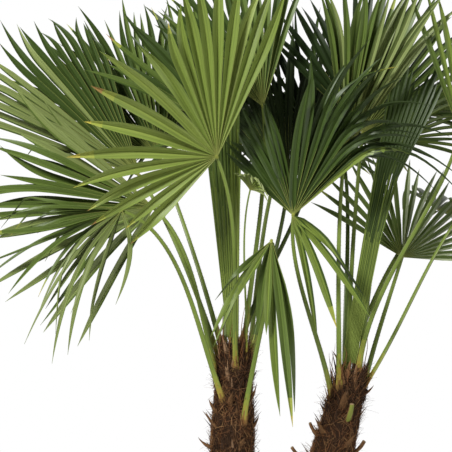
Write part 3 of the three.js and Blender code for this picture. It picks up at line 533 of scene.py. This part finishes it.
class Fan:
    """The leaflets of one blade, joined side by side from the hub to where they split. Arrays run
    over the leaflets, and then over the stations along them.
    """

    def __init__(self, row, rng):
        self.row = row
        self.rng = rng
        self.spear = row["look"] == "spear"
        self.tangle = row.get("tangle", 1)
        self.root = row.get("root", 0)
        self.overlap = row.get("overlap", JOINED)
        self.hub, self.along, self.across, self.normal = frond_axes(row)
        self.direct()
        self.measure()
        self.midribs()
        self.sway()
        self.bow()

    def normal_scatter(self, spread):
        return self.rng.normal(0, spread * self.tangle, self.count)

    def direct(self):
        """Give the leaflets their directions, with none where two folds stand far apart."""
        edges = leaflet_edges(self.row)
        pitch = np.diff(edges)
        held = pitch < GAP_PITCH
        self.last_edge = edges[-1]
        self.pitch = pitch[held]
        self.count = len(self.pitch)
        middle = (edges[:-1] + pitch / 2)[held]
        self.angle = middle + self.pitch * self.normal_scatter(DIRECTION_SPREAD)

    def measure(self):
        if "lengths" in self.row:
            even = over_fan(self.row["lengths"], self.count)
        else:
            shortening = 0 if self.spear else SIDE_SHORTENING
            even = 1 - shortening * (self.angle / math.radians(90)) ** 2
        shortest = 1 - LENGTH_SPREAD * max(self.tangle, 1)
        self.length = self.row["reach"] * even * self.rng.uniform(shortest, 1, self.count)
        width = self.row.get("width", LEAFLET_WIDTH)
        self.half = width / 2 * self.rng.uniform(*WIDTH_SPREAD, self.count)
        room = self.length * np.tan(self.pitch / 2) * self.overlap
        split = np.clip((self.half - self.root) / room, *SPLIT_LIMITS)[:, None]
        self.split = split[:, 0]
        beyond = split + (1 - split) * OUTER_STATIONS
        self.share = np.concatenate([split * INNER_STATIONS, beyond], axis=1)
        self.free = np.clip((self.share - split) / (1 - split), 0, 1)
        self.run = self.length[:, None] * self.share

    def midribs(self):
        lift = self.row["cup"] + self.normal_scatter(LIFT_SPREAD)
        if self.overlap > JOINED and not self.spear:
            lift = lift + OVERLAP_LIFT * (np.arange(self.count) % 3 - 1)
        self.heading = unit(np.cos(self.angle)[:, None] * self.along
                            + np.sin(self.angle)[:, None] * self.across
                            + lift[:, None] * self.normal)
        aside = (2 * np.arange(self.count) + 1 - self.count) * self.root
        open_run = np.maximum(self.run - self.row["reach"] * SPEAR_OPEN_FROM, 0)
        self.opened = self.row.get("opening", 0) * open_run
        rightward = (np.sin(self.angle) - np.sin(self.last_edge))[:, None] * self.opened
        self.lines = (self.hub + self.across * aside[:, None, None]
                      + self.heading[:, None] * self.run[..., None]
                      + self.across * rightward[..., None])
        self.lines[..., 2] -= self.length[:, None] * self.row["droop"] * self.share ** 3

    def sway(self):
        """Lean the free parts to one side and out of the fan's plane."""
        self.flat_side = unit(np.cross(self.normal, self.heading))
        right_of_aim = (self.angle > -SPLAY_LIMIT) * np.minimum(self.angle, 0)
        splay = self.row.get("splay", 0) * right_of_aim
        drift = ((self.normal_scatter(DRIFT_SPREAD) + splay) * self.length)[:, None] * self.free ** 2
        rise = (self.normal_scatter(LIFT_SPREAD) * self.length)[:, None] * self.free ** 2
        self.lines = (self.lines + self.flat_side[:, None] * drift[..., None]
                      + self.normal * rise[..., None])

    def bow(self):
        """Bow the leaflets down, and let the tips of some hang."""
        row, rng, count = self.row, self.rng, self.count
        hangs = rng.uniform(0, 1, count) < row.get("hanging", 0)
        start = np.where(hangs, rng.uniform(*HANG_FROM, count), self.split)
        spread = np.where(hangs, HANG_LENGTH, BOW_LENGTH)
        bow = over_fan(row.get("arch", DEFAULT_ARCH), count) * rng.uniform(*ARCH_SCATTER, count)
        self.pull = np.where(hangs, rng.uniform(*HANG_PULL, count), bow)
        self.lines = bend_down(self.lines, self.share, start, spread, self.pull)

    def section_axes(self):
        """Where each section's side and upper face look. Hanging leaflets turn their side level."""
        level = np.cross(UP, self.heading)
        steady = np.linalg.norm(level, axis=-1) > STEEP
        level = unit(level) * np.where((level * self.flat_side).sum(axis=-1) < 0, -1, 1)[:, None]
        turn_level = (np.clip(self.pull, 0, 1) * steady)[:, None] * ease(self.free * LEVEL_RATE)
        side = lerp(self.flat_side[:, None], level[:, None], turn_level[..., None])
        tangent = unit(np.gradient(self.lines, axis=1))
        side = unit(side - tangent * (side * tangent).sum(axis=-1, keepdims=True))
        upper = np.cross(tangent, side)
        twist = self.rng.normal(0, self.row.get("twist", TWIST_SPREAD), self.count)
        twist = (twist[:, None] * ease(self.free))[..., None]
        return (side * np.cos(twist) + upper * np.sin(twist),
                upper * np.cos(twist) - side * np.sin(twist))

    def half_widths(self):
        swell = 1 + (FREE_SWELL - 1) * np.sin(math.pi * np.clip(self.free / SWELL_END, 0, 1))
        taper_start = self.row.get("taper", TAPER_START)
        taper = 1 - np.clip((self.share - taper_start) / (1 - taper_start), 0, 1) ** TAPER_POWER
        wedge = (self.root + (self.run + self.opened) * np.tan(self.pitch / 2)[:, None]) * self.overlap
        width = wedge if self.spear else np.minimum(wedge, self.half[:, None] * swell)
        return np.maximum(width * taper, TIP_HALF_WIDTH)

    def rings(self):
        side, upper = self.section_axes()
        width = self.half_widths()
        inner, outer = self.row.get("pleats", PLEAT_RATIOS)
        depth = width * lerp(inner, outer, ease(self.free * 2))
        thick = BLADE_THICKNESS * lerp(1, TIP_THINNESS, self.free)
        height = (depth[..., None] * SECTION_FOLD
                  + width[..., None] * SECTION_BULGE
                  - thick[..., None] * SECTION_DEPTH)
        return (self.lines[:, :, None]
                + side[:, :, None] * (width[..., None] * SECTION_X)[..., None]
                + upper[:, :, None] * height[..., None])

    def tints(self):
        row, rng, count = self.row, self.rng, self.count
        tint = np.full((count, self.share.shape[1] - 1, len(SECTION_X)), UNDER)
        # Painted shade: the leaflets in the row's shade part mostly take the darker upper colour.
        order = np.arange(count) / count
        low, high = row.get("shade", (0, 1))
        shaded = (order >= low) & (order <= high)
        darker = SHADE_SHARE if "shade" in row else 0.5
        second = rng.uniform(0, 1, count) < np.where(shaded, darker, 1 - darker)
        tint[:, :, :SHADED_EDGE_FACE] = np.where(second, UPPER_B, UPPER_A)[:, None, None]
        # Painted shade on the fold's outer upper face.
        tint[:, :, SHADED_EDGE_FACE] = UPPER_B
        # Painted light and shade: one half of each leaflet's upper side pale as if lit, the other darker
        # as if turned from the light, both darker in the shaded part.
        if row["look"] == "halved":
            tint[:, :, :2] = np.where(shaded, UPPER_B, UPPER_A)[:, None, None]
            tint[:, :, 2:4] = np.where(shaded, UNDER, UPPER_B)[:, None, None]
        if self.spear:
            tint[:] = self.spear_tints(order)
        ripe = rng.uniform(0, 1, count) < row.get("ripe", DEFAULT_RIPE)
        dry = rng.uniform(0, 1, count) < DRY_SHARE
        for leaflet in np.flatnonzero(ripe & (not self.spear)):
            faces = rng.integers(1, 4)
            tint[leaflet, -faces - 2:] = PALE_TIP
            tint[leaflet, -faces:] = DRY if dry[leaflet] else TIP
        return tint

    def spear_tints(self, order):
        """Painted shade that darkens up the young frond into the crown, and later along its edges, which
        keep the light longer.
        """
        low, high = self.row["shades"]
        late = SPEAR_EDGE_DELAY * np.abs(2 * order - 1)[:, None]
        step = (self.share[:, 1:] - low - late) / (high - low) * len(SPEAR_SHADES)
        uneven = self.rng.normal(0, SPEAR_SHADE_SPREAD, (self.count, 1, len(SECTION_X)))
        return np.clip(step[..., None] + uneven, 0, len(SPEAR_SHADES) - 1)


def fan(piece, row, rng):
    leaflets = Fan(row, rng)
    rings = leaflets.rings()
    piece.add(rings, leaflets.tints())
    if leaflets.spear:
        return

    # Pale ridges that run out from the hub, along every edge
    inner = len(INNER_STATIONS)
    ridges = np.concatenate([rings[:, :inner, 0], rings[-1:, :inner, 4]])
    piece.add(sweep(ridges, lerp(*RIDGE_RADII, INNER_STATIONS), leaflets.normal, circle(4)), RIB)


# Stalks

def stalk_line(row, share):
    """Centre line of the stalk, from inside the fibre to its point under the blade."""
    hub, along, _, normal = frond_axes(row)
    stem = STEMS[row["name"].partition("_")[0]]
    height, side, *distance = row["start"]
    out = around(math.radians(side))
    radius = distance[0] if distance else stem_radius(stem, height) + STALK_ROOT_OUT
    sink = STALK_ROOT_SINK if distance else 0
    start = stem_centre(stem, height - sink) + out * radius
    span = hub - start
    length = np.linalg.norm(span)
    heading = span / length
    ahead, up, aside = row.get("leave", STALK_LEAVE)
    leave = unit(heading * ahead + UP * up + out * aside)
    arrive = unit(heading + along * ARRIVE_ALONG)
    end = hub - normal * row["reach"] * HUB_DROP
    first, last = STALK_HANDLES
    curve = bezier([start, start + leave * length * first, end - arrive * length * last, end], share)
    root = start - leave * SHEATH_DEPTH - out * SHEATH_DEPTH * SHEATH_INWARD
    into = SPEAR_STALK_INTO if row["look"] == "spear" else STALK_INTO_BLADE
    tip = end + along * row["reach"] * into
    return np.concatenate([[root], curve, [lerp(end, tip, 0.5)], [tip]]), length


def stalk_profile():
    """Oval with a lower, grooved upper side."""
    profile = circle(STALK_POINTS)
    profile[:, 1] *= STALK_FLATNESS
    profile[profile[:, 1] > 0, 1] *= STALK_UPPER
    groove, depth = STALK_GROOVE
    profile[np.abs(profile[:, 0]) < groove, 1] -= depth
    return profile


def stalk_tints(share, rng):
    """Rust, amber, yellow and then green from the foot, in streaks, with darker edges on the green."""
    place = np.concatenate([[0], share[1:], [1], [1]])
    streaked = place[:, None] + rng.normal(0, STREAK, STALK_POINTS)
    tint = sum((streaked < band).astype(int) for band in STALK_BANDS)
    edges = tint[:, STALK_EDGE_FACES]
    tint[:, STALK_EDGE_FACES] = np.where(edges == GREEN_STALK, STALK_EDGE, edges)
    return tint[None]


def along_track(track, share, place):
    return np.stack([np.interp(place, share, track[:, axis]) for axis in range(3)], axis=-1)


def teeth(piece, rings, line, share, length, slim, rng):
    """Teeth along both edges of a stalk."""
    first, last = TOOTH_RANGE
    count = int(length * (last - first) / TOOTH_PITCH)
    place = np.linspace(first, last, count) + rng.normal(0, TOOTH_SCATTER, count)
    core = along_track(line[1:-2], share, place)
    for edge in STALK_EDGES:
        foot = along_track(rings[0, 1:-2, edge], share, place)
        out = unit(foot - core)
        size = TOOTH_LENGTH * slim * rng.uniform(*TOOTH_SIZES, count)[:, None]
        lines = np.stack([foot - out * TOOTH_SINK, foot + out * size], axis=1)
        lines[:, 1, 2] += size[:, 0] * TOOTH_RISE
        piece.add(sweep(lines, TOOTH_RADII, UP + 0.3, circle(3)), GREEN_STALK)


def flap(piece, row, slim):
    """Small flap on the upper side, where the leaflets meet."""
    hub, along, _, normal = frond_axes(row)
    ahead, up, radii = np.array([FLAP_ALONG, FLAP_UP, FLAP_RADII]) * STALK_TIP_WIDTH * slim
    line = hub + along * ahead[:, None] + normal * up[:, None]
    piece.add(sweep(line[None], radii, normal, circle(8) * (1, FLAP_FLATNESS)), YELLOW_STALK)


def stalk(piece, row, rng):
    share = np.linspace(0, 1, STALK_RINGS) ** STALK_RING_POWER
    line, length = stalk_line(row, share)
    slim = YOUNG_SLIMNESS if row["reach"] < YOUNG_REACH else 1
    width = slim * lerp(STALK_BASE_WIDTH, STALK_TIP_WIDTH, np.sqrt(share))
    width = width * (1 + SHEATH_FLARE * np.exp(-share / SHEATH_FLARE_LENGTH))
    width = np.concatenate([[width[0] * 0.9], width, [width[-1] * 0.6], [0.001]])
    rings = sweep(line[None], width / 2, frond_axes(row)[3], stalk_profile())
    piece.add(rings, stalk_tints(share, rng))
    teeth(piece, rings, line, share, length, slim, rng)
    if row["look"] != "spear":
        flap(piece, row, slim)


def frond(row, index):
    rng = np.random.default_rng(index + 1)
    node = "frond_" + row["name"]
    if row["look"] == "spear":
        slot, shades, stalk_colour = "young_leaf", SPEAR_SHADES, "stalk_green"
    else:
        light, dark, below, foot = LOOKS[row["look"]]
        stalk_colour = "stalk_" + foot
        slot, shades = "leaf", ("leaf_" + light, "leaf_" + dark, "under_" + below, *TIP_COLOURS, "rib")
    blade = Piece("blade_" + row["name"], shades)
    fan(blade, row, rng)
    blade.build(slot, [node])
    stalk_piece = Piece("stalk_" + row["name"], (stalk_colour, *STALK_COLOURS))
    stalk(stalk_piece, row, rng)
    stalk_piece.build(slot, [node])


# Stems

COAT_SIDES = 110
COAT_STEP = 0.0045
COAT_FROM = CROWN_HEIGHT * 0.8  # inside the root crown
COAT_LUMP = 0.006
COAT_RIDGE = 0.0036
LUMP_GRAIN = np.array([14, 14, 9])
RIDGE_GRAIN = np.array([170, 170, 38])
RIDGE_OCTAVES = 3
DOME_SCALE = 0.5
DOME_RISE = 0.006
DARK, BROWN, TAN = range(3)
FIBRE_SHARES = (0.42, 0.46, 0.12)
# Painted shade under the crown: near a stem's top most strands are dark.
CROWN_SHADE_FROM = 0.88  # share of the stem's height above which the fibre is mostly dark
CROWN_SHADE_SHARE = 0.7

# Fibres on the coat
STRAND_COUNT = 6200
FOOT_STRANDS = 26  # round each stalk's foot
STRAND_LENGTHS = (0.025, 0.09)
STRAND_RADII = (0.0004, 0.0011)
STRAND_TIP = 0.45  # radius at the ends against the middle
STRAND_SLOPE = 0.85  # scatter from the upright, radians
STRAND_BOW = 0.6
STRAND_WAVE = 0.0025
STRAND_LOWEST = 0.004
STRAND_OVER_TOP = 0.03
LOOSE_SHARE = 0.2
LOOSE_STANDOFF = (0.006, 0.026)

# Fine fibres that stand out of it, and loose threads at the top
HAIR_COUNT = 700
HAIR_RADII = (0.0006, 0.00012)
HAIR_SINK = 0.002
CURL_COUNT = 18
CURL_RADII = (0.0017, 0.0004)
CURL_LEAN = 0.012

# Old leaf bases, each with a tuft of hairs, and shreds between them
BOOT_COUNT = 28
BOOT_SHAPE = np.array([0.064, 0.036, 0.030, 0.009])  # length, width, standoff, sink
BOOT_SIZES = (0.75, 1.25)
BOOT_RANGE = (0.13, 0.86)
BOOT_HAIRS = 16
GOLDEN_TURN = 137.5
SEED_TURN = 20
SHRED_COUNT = 230
SHRED_SHAPE = np.array([0.052, 0.013, 0.024, 0.006])
SHINGLE_RINGS = 8
SHINGLE_THICKNESS = 0.14
SHINGLE_CUP = 0.22
HUSK, HUSK_TAN, CUT, GREEN, SHRED = range(5)

# Husks and tufts round the stalks at the top
COLLAR_COUNT = 30
COLLAR_SINK = 0.006
COLLAR_HAIRS = 260
COLLAR_CLUMPS = 9

# Stubs of old stalks: height and side of the stem, how far the stub runs out and up, its width,
# its width at the end against that, colour
STUBS = {
    "left": [
        (0.654, 185, 0.038, 0.036, 0.026, 0.05, HUSK),
        (0.722, 190, 0.020, 0.044, 0.030, 0.05, HUSK),
        (0.762, 205, 0.022, 0.046, 0.032, 0.05, HUSK),
        (0.712, 350, 0.018, 0.044, 0.034, 0.05, HUSK),
        (0.790, 345, 0.016, 0.062, 0.026, 0.05, HUSK),
        (0.868, 340, 0.008, 0.090, 0.024, 0.05, HUSK),
        (0.845, 250, 0.004, 0.080, 0.022, 0.05, HUSK_TAN),
        (0.600, 60, 0.034, 0.040, 0.030, 0.05, HUSK),
    ],
    "right": [
        (0.612, 182, 0.048, 0.050, 0.020, 0.8, HUSK),
        (0.690, 178, 0.018, 0.044, 0.026, 0.55, HUSK),
        (0.636, 350, 0.036, 0.046, 0.022, 0.8, HUSK),
        (0.742, 290, 0.030, 0.058, 0.024, 0.6, GREEN),
        (0.800, 305, 0.006, 0.110, 0.032, 0.1, HUSK),
        (0.812, 355, 0.034, 0.036, 0.026, 0.05, HUSK),
        (0.590, 95, 0.036, 0.046, 0.022, 0.8, HUSK),
    ],
}
STUB_SINK = 0.014
STUB_BEND = 0.35  # 0 straight, 1 out and then up
STUB_UNEVEN = 0.05
STUB_LIP = 0.0015


def coat_offset(place, seed):
    """Height of the matted fibre at a place on a stem: soft lumps under fine upright ridges."""
    low = noise.noise(Vector(place * LUMP_GRAIN + UP * seed * 7))
    fine = noise.turbulence(Vector(place * RIDGE_GRAIN + UP * seed), RIDGE_OCTAVES, True)
    return COAT_LUMP * low + COAT_RIDGE * (fine - 0.5)


def coat_rings(centres, radii, sides, seed):
    """Rings of the matted surface round a centre line."""
    out = around(np.arange(sides) / sides * math.tau)
    base = centres[:, None] + out * radii[:, None, None]
    offset = np.array([[coat_offset(place, seed) for place in ring] for ring in base])
    return base + out * offset[..., None]


def coat(name):
    stem = STEMS[name]
    count = round((stem["height"] - COAT_FROM) / COAT_STEP)
    heights = np.linspace(COAT_FROM, stem["height"], count + 1)
    centres = stem_centre(stem, heights)
    rings = coat_rings(centres, stem_radius(stem, heights), COAT_SIDES, stem["seed"])
    dome = centres[-1] + (rings[-1] - centres[-1]) * DOME_SCALE + UP * DOME_RISE
    piece = Piece("coat_" + name, ["coat"])
    piece.add(np.concatenate([rings, dome[None]]), 0)
    piece.build("stem_fibre", ["trunk_" + name])


def strands(piece, stem, middle, start, lift, rng):
    """Fibres that cross each other over the coat; some end loose and stand off."""
    count = len(middle)
    t = np.linspace(-0.5, 0.5, 5)
    length = rng.uniform(*STRAND_LENGTHS, count)
    slope = rng.normal(0, STRAND_SLOPE, count)
    height = middle[:, None] + (length * np.cos(slope))[:, None] * t
    height = np.clip(height, STRAND_LOWEST, stem["height"] + STRAND_OVER_TOP)
    radius = stem_radius(stem, height)
    bow = rng.normal(0, STRAND_BOW, count)[:, None] * (t ** 2 - 0.25)
    angle = start[:, None] + ((length * np.sin(slope))[:, None] * t + bow * length[:, None]) / radius
    loose = (rng.uniform(0, 1, count) < LOOSE_SHARE) * rng.uniform(*LOOSE_STANDOFF, count)
    stand = lift[:, None] + loose[:, None] * np.clip(t + 0.3, 0, 1) ** 2
    stand = stand + STRAND_WAVE * np.sin(t * 8 + start[:, None] * 5)
    lines = stem_centre(stem, height) + around(angle) * (radius + stand)[..., None]
    thick = rng.uniform(*STRAND_RADII, count)[:, None] * lerp(1, STRAND_TIP, np.abs(t) * 2)
    tint = rng.choice([DARK, BROWN, TAN], count, p=FIBRE_SHARES)
    # Painted shade under the crown: strands near the top turn dark.
    crown_shade = (middle > stem["height"] * CROWN_SHADE_FROM) & (rng.uniform(0, 1, count) < CROWN_SHADE_SHARE)
    tint[crown_shade] = DARK
    piece.add(sweep(lines, thick, around(angle) + 0.15, circle(3)), tint[:, None, None])


def foot_strands(piece, name, rng):
    """Fibres that cross over the foot of each stalk on a stem's side."""
    for frond_name, start, *_ in FRONDS:
        if not frond_name.startswith(name) or len(start) > 2:
            continue
        height, side = start
        middle = height - 0.014 + rng.normal(0, 0.010, FOOT_STRANDS)
        turn = math.radians(side) + rng.normal(0, 0.28, FOOT_STRANDS)
        strands(piece, STEMS[name], middle, turn, rng.uniform(0.004, 0.012, FOOT_STRANDS), rng)


def hairs(piece, stem, height, angle, lengths, rise, rise_scatter, rng):
    """Fine fibres that stand out of the coat."""
    count = len(height)
    length = rng.uniform(*lengths, count)
    rise = rng.normal(rise, rise_scatter, count)
    t = np.linspace(0, 1, 5)
    out = around(angle)
    side = np.cross(UP, out)
    root = stem_centre(stem, height) + out * (stem_radius(stem, height) - HAIR_SINK)[:, None]
    heading = unit(out + UP * rise[:, None] + side * rng.normal(0, 0.5, count)[:, None])
    bend = side * rng.normal(0, 0.25, count)[:, None] - UP * rng.uniform(0, 0.5, count)[:, None]
    lines = (root[:, None] + heading[:, None] * (length[:, None] * t)[..., None]
             + (bend * length[:, None])[:, None] * (t ** 2)[:, None])
    tint = rng.choice([DARK, BROWN, TAN], count, p=FIBRE_SHARES)[:, None, None]
    piece.add(sweep(lines, lerp(*HAIR_RADII, t), side[:, None] + 0.1, circle(3)), tint)


def curls(piece, stem, rng):
    """Loose threads that rise from a stem's top and curl over."""
    t = np.linspace(0, 1, 18)
    angle = rng.uniform(0, math.tau, CURL_COUNT)
    out = around(angle)
    side = np.cross(UP, out)
    height = stem["height"] * rng.uniform(0.9, 1, CURL_COUNT)
    root = stem_centre(stem, height) + out * (stem_radius(stem, height) * 0.95)[:, None]
    rise = rng.uniform(0.04, 0.15, CURL_COUNT)
    loop = rng.uniform(0.004, 0.014, CURL_COUNT)
    phase = t * rng.uniform(2, 6, CURL_COUNT)[:, None]
    swing = (loop[:, None] * t)[..., None]
    lines = (root[:, None] + UP * (rise[:, None] * t ** 0.7)[..., None]
             + out[:, None] * (CURL_LEAN * t ** 2)[:, None]
             + out[:, None] * np.sin(phase)[..., None] * swing
             + side[:, None] * (1 - np.cos(phase))[..., None] * swing)
    piece.add(sweep(lines, lerp(*CURL_RADII, t), side[:, None] + 0.2, circle(4)), BROWN)


def shingles(stem, height, angle, length, width, standoff, sink, rng):
    """Pointed leaf bases that clasp the stem at their foot and stand off at their tip."""
    t = np.linspace(0, 1, SHINGLE_RINGS)
    out = around(angle)
    side = np.cross(UP, out)
    foot = stem_centre(stem, height) + out * (stem_radius(stem, height) - sink)[:, None]
    drift = rng.normal(0, 0.12, len(height)) * length
    stand = (standoff + sink)[:, None] * t ** 1.4
    lines = (foot[:, None] + UP * (length[:, None] * t)[..., None]
             + out[:, None] * stand[..., None]
             + side[:, None] * (drift[:, None] * t ** 2)[..., None])
    profile = circle(8)
    profile[:, 1] = profile[:, 1] * SHINGLE_THICKNESS - profile[:, 0] ** 2 * SHINGLE_CUP
    ragged = 1 + rng.normal(0, 0.06, (len(height), len(t)))
    size = width[:, None] / 2 * np.maximum((1 - t) ** 0.8, 0.02) * ragged
    return sweep(lines, size, out[:, None], profile)


def boots(piece, tufts, stem, rng):
    """Old leaf bases up the stem, with a tuft of fibre at each."""
    index = np.arange(BOOT_COUNT)
    height = lerp(*BOOT_RANGE, index / (BOOT_COUNT - 1)) * stem["height"]
    angle = np.radians(index * GOLDEN_TURN + stem["seed"] * SEED_TURN)
    size = lerp(*BOOT_SIZES, np.array([scatter(boot, stem["seed"]) for boot in index]))
    tint = rng.choice([HUSK, HUSK_TAN], BOOT_COUNT, p=[0.88, 0.12])[:, None, None]
    piece.add(shingles(stem, height, angle, *BOOT_SHAPE[:, None] * size, rng), tint)
    count = BOOT_COUNT * BOOT_HAIRS
    places = np.repeat(height, BOOT_HAIRS) + rng.uniform(0, 0.04, count)
    turns = np.repeat(angle, BOOT_HAIRS) + rng.normal(0, 0.22, count)
    hairs(tufts, stem, places, turns, lengths=(0.02, 0.05), rise=1.2, rise_scatter=0.4, rng=rng)


def shreds(piece, stem, rng):
    size = rng.uniform(0.4, 1.1, SHRED_COUNT)
    tint = rng.choice([SHRED, HUSK, HUSK_TAN], SHRED_COUNT, p=[0.5, 0.42, 0.08])[:, None, None]
    height = rng.uniform(0.08, 0.95, SHRED_COUNT) * stem["height"]
    angle = rng.uniform(0, math.tau, SHRED_COUNT)
    piece.add(shingles(stem, height, angle, *SHRED_SHAPE[:, None] * size, rng), tint)


def collar(piece, tufts, stem, rng):
    """Ragged husks and tufts round the stalks at a stem's top."""
    count = COLLAR_COUNT
    angle = (np.arange(count) + rng.uniform(-0.4, 0.4, count)) / count * math.tau
    height = stem["height"] * rng.uniform(0.84, 0.97, count)
    tint = rng.choice([HUSK, HUSK_TAN, SHRED], count, p=[0.45, 0.25, 0.3])[:, None, None]
    length = rng.uniform(0.05, 0.12, count)
    width = rng.uniform(0.010, 0.030, count)
    standoff = rng.uniform(-0.006, 0.020, count)
    sink = np.full(count, COLLAR_SINK)
    piece.add(shingles(stem, height, angle, length, width, standoff, sink, rng), tint)
    places = stem["height"] * rng.uniform(0.86, 1, COLLAR_HAIRS)
    clump = rng.integers(0, COLLAR_CLUMPS, COLLAR_HAIRS) / COLLAR_CLUMPS * math.tau
    turns = clump + rng.normal(0, 0.25, COLLAR_HAIRS)
    hairs(tufts, stem, places, turns, lengths=(0.02, 0.065), rise=1.6, rise_scatter=0.7, rng=rng)


def stubs(piece, name, rng):
    stem = STEMS[name]
    t = np.linspace(0, 1, 10)
    profile = circle(STALK_POINTS) * (1, STALK_FLATNESS)
    for height, side, run_out, run_up, width, tip, colour in STUBS[name]:
        out = around(math.radians(side))
        start = stem_centre(stem, height) + out * (stem_radius(stem, height) - STUB_SINK)
        corner = start + out * (STUB_SINK + run_out)
        end = corner + UP * run_up
        corner = lerp((start + end) / 2, corner, STUB_BEND)
        line = bezier([start, lerp(start, corner, 2 / 3), lerp(end, corner, 2 / 3), end], t)
        size = width / 2 * lerp(1, tip, t) * (1 + rng.normal(0, STUB_UNEVEN, len(t)))
        rings = sweep(line[None], size, UP - out, profile)
        lip = lerp(rings[:, -1:], rings[:, -1:].mean(axis=2, keepdims=True), 0.3) + UP * STUB_LIP
        tint = np.full((1, len(t), STALK_POINTS), colour)
        tint[..., STALK_EDGE_FACES] = HUSK
        tint[:, -1] = CUT
        piece.add(np.concatenate([rings, lip], axis=1), tint)


def stem_details(name):
    stem = STEMS[name]
    rng = np.random.default_rng(stem["seed"])
    fibre_colours = ["fibre_dark", "fibre_brown", "fibre_tan"]
    fibres = Piece("fibres_" + name, fibre_colours)
    places = rng.uniform(0.03, stem["height"] + 0.01, STRAND_COUNT)
    turns = rng.uniform(0, math.tau, STRAND_COUNT)
    strands(fibres, stem, places, turns, rng.uniform(-0.004, 0.0045, STRAND_COUNT), rng)
    foot_strands(fibres, name, rng)
    tufts = Piece("tufts_" + name, fibre_colours)
    places = rng.uniform(0.05, stem["height"], HAIR_COUNT)
    turns = rng.uniform(0, math.tau, HAIR_COUNT)
    hairs(tufts, stem, places, turns, lengths=(0.010, 0.036), rise=0.5, rise_scatter=0.6, rng=rng)
    curls(tufts, stem, rng)
    husks = Piece("husks_" + name, ["husk", "husk_tan", "cut_face", "stalk_yellow", "fibre_dark"])
    boots(husks, tufts, stem, rng)
    shreds(husks, stem, rng)
    collar(husks, tufts, stem, rng)
    stubs(husks, name, rng)
    for piece in (fibres, tufts, husks):
        piece.build("stem_fibre", ["trunk_" + name])


def root_crown():
    """The stems' flared feet, and a saddle between them."""
    piece = Piece("crown_bark", ["coat"])
    heights = np.linspace(0, CROWN_HEIGHT, FOOT_STEPS)
    for stem in STEMS.values():
        radii = lerp(FOOT_RADIUS, stem_radius(stem, CROWN_HEIGHT), np.sqrt(heights / CROWN_HEIGHT))
        piece.add(coat_rings(stem_centre(stem, heights), radii, FOOT_SIDES, stem["seed"]), 0)
    middle = (stem_centre(STEMS["left"], 0.0) + stem_centre(STEMS["right"], 0.0)) / 2
    heights = np.linspace(0, SADDLE_HEIGHT, FOOT_STEPS)
    radii = lerp(SADDLE_RADIUS, SADDLE_TOP_RADIUS, heights / SADDLE_HEIGHT)
    piece.add(coat_rings(middle + UP * heights[:, None], radii, FOOT_SIDES, SADDLE_SEED), 0)
    piece.build("stem_fibre", ["root_crown"])


# Studio

CAMERA_PLACE = (-0.078, -4.5, 1.323)
LIGHT_AIM = (0.1, 0.1, 1.5)
SKY_SEEN = 1.0
SKY_GLOW = 0.22


def put(data, place, rotation):
    item = bpy.data.objects.new(data.name, data)
    item.location = place
    item.rotation_euler = rotation
    bpy.context.scene.collection.objects.link(item)
    return item


def camera():
    data = bpy.data.cameras.new("camera")
    data.sensor_width = 36
    data.lens = 119.5
    bpy.context.scene.camera = put(data, CAMERA_PLACE, (math.radians(90), 0, 0))


def area_light(name, place, size, power):
    data = bpy.data.lights.new(name, "AREA")
    data.size = size
    data.energy = power
    put(data, place, (Vector(LIGHT_AIM) - Vector(place)).to_track_quat("-Z", "Y").to_euler())


def sky():
    """White where the camera sees it, and a soft glow on the plant."""
    world = bpy.data.worlds.new("studio")
    world.use_nodes = True
    nodes = world.node_tree.nodes
    link = world.node_tree.links.new
    seen = set_inputs(nodes["Background"], {"Color": (1, 1, 1, 1), "Strength": SKY_SEEN})
    glow = nodes.new("ShaderNodeBackground")
    set_inputs(glow, {"Color": (1, 1, 1, 1), "Strength": SKY_GLOW})
    path = nodes.new("ShaderNodeLightPath")
    mix = nodes.new("ShaderNodeMixShader")
    link(path.outputs["Is Camera Ray"], mix.inputs["Fac"])
    link(glow.outputs["Background"], mix.inputs[1])
    link(seen.outputs["Background"], mix.inputs[2])
    link(mix.outputs["Shader"], nodes["World Output"].inputs["Surface"])
    bpy.context.scene.world = world
    bpy.context.scene.view_settings.view_transform = "Standard"


def ground():
    """Matt floor, which isn't part of the plant."""
    bpy.ops.mesh.primitive_circle_add(vertices=96, radius=3, fill_type="NGON")
    floor = bpy.context.object
    floor.name = "floor"
    material = bpy.data.materials.new("floor")
    material.use_nodes = True
    look = {"Base Color": (0.8, 0.8, 0.79, 1), "Roughness": 0.8}
    set_inputs(material.node_tree.nodes["Principled BSDF"], look)
    floor.data.materials.append(material)


def studio():
    area_light("key", (-2.6, -3.2, 4.2), size=1.0, power=405)
    area_light("fill", (3.2, -3.0, 2.0), size=3.0, power=85)
    area_light("rear", (0.5, 4.5, 3.0), size=4.0, power=60)
    sky()
    ground()


camera()
studio()
MATERIALS = make_materials()
for index, (*values, others) in enumerate(FRONDS + SPEARS):
    frond(dict(zip(COLUMNS, values), **others), index)
for name in STEMS:
    coat(name)
    stem_details(name)
root_crown()
